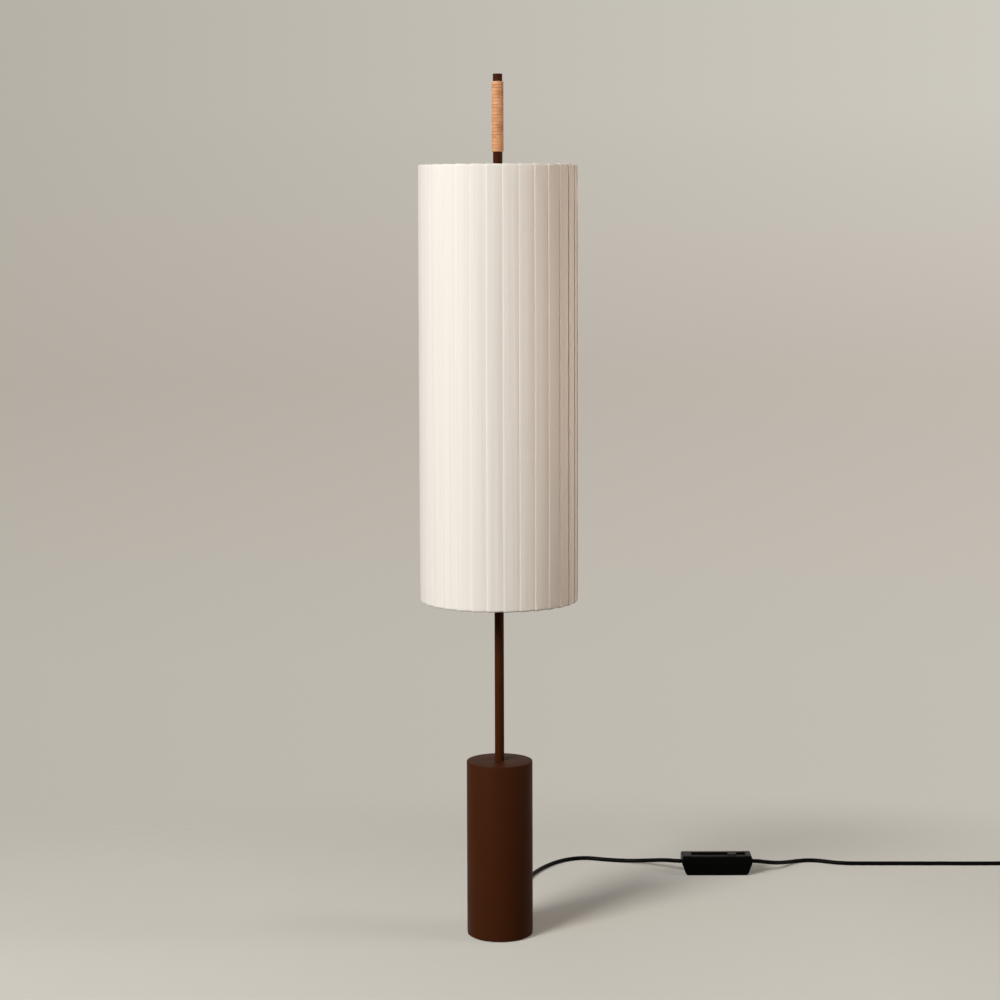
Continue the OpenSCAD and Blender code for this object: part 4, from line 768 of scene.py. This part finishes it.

# Moulded ABS, deep black, with a fine spark-eroded grain. The knob and the top of the cover are
# painted a faint grey from just below the height of the top: a painted sheen of light on the top.
SHEEN_FROM, SHEEN_TO = 29.2, 29.9
abs_black = mottled("moulded ABS", "#010101", "#040404", 6, 0.34, 0.35, 0.02,
                    {"Specular IOR Level": 0.045})
tree = abs_black.node_tree
shader = next(n for n in tree.nodes if n.type == "BSDF_PRINCIPLED")
moulded = shader.inputs["Base Color"].links[0].from_socket
place = add(tree, "ShaderNodeTexCoord").outputs["Object"]
# Painted sheen: a faint grey where light falls on the top of the cover and the knob
painted_sheen = add(tree, "ShaderNodeMapRange", {
    "Value": add(tree, "ShaderNodeSeparateXYZ", {0: place}).outputs["Z"],
    "From Min": SHEEN_FROM / 1000, "From Max": SHEEN_TO / 1000})
colour = add(tree, "ShaderNodeMix", {0: painted_sheen, 6: moulded, 7: linear("#171715")}, data_type="RGBA")
tree.links.new(colour.outputs[2], shader.inputs["Base Color"])


def corner_of(y, z, radius, first):
    """Points round a corner whose outer edges would meet at (y, z), over a quarter turn."""
    steps = 4
    turns = [math.radians(first + 90 * k / steps) for k in range(steps + 1)]
    across = radius if math.cos(math.radians(first + 45)) > 0 else -radius
    up = radius if math.sin(math.radians(first + 45)) > 0 else -radius
    return [(y - across + radius * math.cos(t), z - up + radius * math.sin(t)) for t in turns]


def round_end(radius):
    """Places along the dimmer, in order, close together where its ends are rounded."""
    ends = [HALF_L - radius * (1 - math.cos(math.radians(15 * k))) for k in range(7)]
    return sorted({side * end for end in ends for side in (-1, 1)})


# The cover's section. The floors of its channel, and of the slot in the channel, are given by name,
# because their height changes along the cover.
cover_section = [(HALF_W, PARTING)] + corner_of(HALF_W - 1, DIMMER_TOP, CORNER_R, 0)
cover_section += [(CHANNEL_W / 2, DIMMER_TOP), (CHANNEL_W / 2, "channel"),
                  (SLOT_W / 2, "channel"), (SLOT_W / 2, "slot")]
cover_section += [(-y, z) for y, z in reversed(cover_section)]

grooves = [CHANNEL_FROM + (k + 0.3) * RIB_PITCH for k in range(RIBS)]
marks = set(round_end(COVER_ROUND))
for edge in (CHANNEL_FROM, CHANNEL_TO, -SLOT_REACH, SLOT_REACH):
    marks |= {edge - BRINK, edge + BRINK}
for start in grooves:
    marks |= {start, start + FLANK, start + GROOVE_W - FLANK, start + GROOVE_W}
rings = []
for x in sorted(marks):
    past = max(0, abs(x) - (HALF_L - COVER_ROUND))
    top = DIMMER_TOP - COVER_ROUND + math.sqrt(max(0, COVER_ROUND**2 - past**2))
    if any(start + FLANK / 2 < x < start + GROOVE_W - FLANK / 2 for start in grooves):
        top = DIMMER_TOP - GROOVE_T
    channel = CHANNEL_FLOOR if CHANNEL_FROM < x < CHANNEL_TO else top
    floors = {"channel": channel, "slot": SLOT_FLOOR if abs(x) < SLOT_REACH else channel}
    ring = []
    for y, z in cover_section:
        z = min(floors.get(z, z), top)
        taper = 1 - 0.3 * (z - PARTING) / (DIMMER_TOP - PARTING) / HALF_L
        ring.append((x * taper, y, z))
    rings.append(ring)
cover = skinned("dimmer_top", rings, abs_black, "lamp", ["dimmer_cover"],
                place=DIMMER)

# The lower shell narrows towards its flat foot, along and across
shell_section = corner_of(HALF_W - 1.5, 0, CORNER_R, -90)[1:] + [(HALF_W, PARTING)]
shell_section = ([(-y, z) for y, z in reversed(shell_section)]
                 + [(-FOOT_W / 2, 0), (FOOT_W / 2, 0)] + shell_section)
rings = []
for x in round_end(SHELL_ROUND):
    past = max(0, abs(x) - (HALF_L - SHELL_ROUND))
    bottom = SHELL_ROUND - math.sqrt(max(0, SHELL_ROUND**2 - past**2))
    ring = []
    for y, z in shell_section:
        z = max(z, bottom)
        half_l = FOOT_HALF_L + (HALF_L - FOOT_HALF_L) * z / PARTING
        ring.append((x * half_l / HALF_L, y, z))
    rings.append(ring)
shell = skinned("dimmer_shell", rings, abs_black, "lamp", ["dimmer_base"],
                place=DIMMER)

# The knob is dished for a fingertip and is drawn where it lies, near the plug's end
knob_half = [(6.5, 28), (6.5, 30.2), (6.1, 30.8), (5.5, 31), (2.6, 31), (1.2, 30.5)]
knob_side = knob_half + [(0, 30.35)] + [(-x, z) for x, z in reversed(knob_half)]
knob_across = (-KNOB_W / 2, KNOB_EASE - KNOB_W / 2, KNOB_W / 2 - KNOB_EASE, KNOB_W / 2)
knob = skinned("dimmer_slider_knob", [[(KNOB_X + x, y, z) for x, z in knob_side]
                                      for y in knob_across],
               abs_black, "dimmer_slider", ["dimmer_knob"], place=DIMMER)
# Moulded edges are never quite sharp: the width of each one's ease
for part, width in ((cover, 0.12), (shell, 0.4), (knob, 0.25)):
    ease = part.modifiers.new("ease", "BEVEL")
    ease.width = width / 1000
    ease.segments = 2
    ease.limit_method = "ANGLE"
    ease.angle_limit = math.radians(50)

# Green glass-fibre board under a thin lacquer, with its slide potentiometer
board = mottled("glass-fibre circuit board", "#2f4a38", "#3b5a45", 5, 0.35, 0.4, 0.01)
painted(board, "dimmer_circuit")
painted(pvc, "dimmer_leads")
painted(zinc, "dimmer_clamps", "dimmer_screws")


# Plug
# A flat two-pin plug, moulded round the end of the lead, with a ribbed sleeve behind it. The
# stored coil is held by a strap of black hook-and-loop tape.
PLUG = Matrix.Translation((0.905, 0.248, 0.007))
PLUG_L, PLUG_HALF_H, PLUG_CORNER_R, PLUG_RINGS = 36, 7, 4, 37
BACK_HALF_W, FACE_HALF_W, WIDENS_OVER = 7.6, 17.5, 14
DENT = 0.5

painted(moulded_pvc, "plug_relief")
# Bright nickel over turned brass: the pins shine more than the zinc does
nickel = mottled("nickel-plated brass", "#b9b6ae", "#cbc8c1", 3, 0.25, 0.2, 0.004, {"Metallic": 1})
painted(nickel, "plug_pins")

# The body widens from the sleeve to the pins' face, with dents across it for the fingers and both
# of its ends eased
last = PLUG_RINGS - 1
rings = []
for k in range(PLUG_RINGS):
    wider = min(max((k - 1) / WIDENS_OVER, 0), 1)
    half = BACK_HALF_W + (FACE_HALF_W - BACK_HALF_W) * (3 * wider**2 - 2 * wider**3)
    y = -max(0, min(PLUG_L, (k - 0.5) * PLUG_L / (last - 1)))
    ease = 1.2 if k in (0, last) else 0.3 if k in (1, last - 1) else 0
    dent = DENT if 8 < k < 26 and k % 3 == 0 else 0
    half -= ease + dent
    ring = []
    for across, up, first in ((1, 1, 0), (-1, 1, 90), (-1, -1, 180), (1, -1, 270)):
        ring += [(x, y, z) for x, z in corner_of(across * half, up * (PLUG_HALF_H - ease),
                                                 PLUG_CORNER_R, first)]
    rings.append(ring)
skinned("plug", rings, moulded_pvc, "lamp", ["plug_body"], place=PLUG)

# Woven nylon tape: its short loops make it matt
tape = mottled("hook-and-loop tape", "#131314", "#202022", 1.2, 0.9, 0.5, 0.12,
               {"Sheen Weight": 0.2, "Specular IOR Level": 0.2})
# The strap goes round the near side of the coil: its line in front, behind, below and above, its
# width on each side of the coil's middle and half of its thickness
STRAP_NEAR, STRAP_FAR, STRAP_LOW, STRAP_HIGH, STRAP_R = 265.6, 287.2, 0.4, 14.4, 3
STRAP_HALF_W, STRAP_HALF_T, STRAP_EASE = 4, 0.4, 0.1
side = [(STRAP_HALF_W, STRAP_HALF_T - STRAP_EASE), (STRAP_HALF_W - STRAP_HALF_T, STRAP_HALF_T)]
strap_section = [(-x, -d) for x, d in side] + [(x, -d) for x, d in reversed(side)]
strap_section += [(x, d) for x, d in side] + [(-x, d) for x, d in reversed(side)]
rings = []
for y, z, first in ((STRAP_FAR, STRAP_HIGH, 0), (STRAP_NEAR, STRAP_HIGH, 90),
                    (STRAP_NEAR, STRAP_LOW, 180), (STRAP_FAR, STRAP_LOW, 270)):
    bend = corner_of(y, z, STRAP_R, first)
    for i, (bend_y, bend_z) in enumerate(bend):
        turn = math.radians(first + 90 * i / (len(bend) - 1))
        rings.append([(COIL_X + x, bend_y + d * math.cos(turn), bend_z + d * math.sin(turn))
                      for x, d in strap_section])
strap = skinned("coil_strap", rings, tape, "lamp", ["coil_tie"], loop=True)
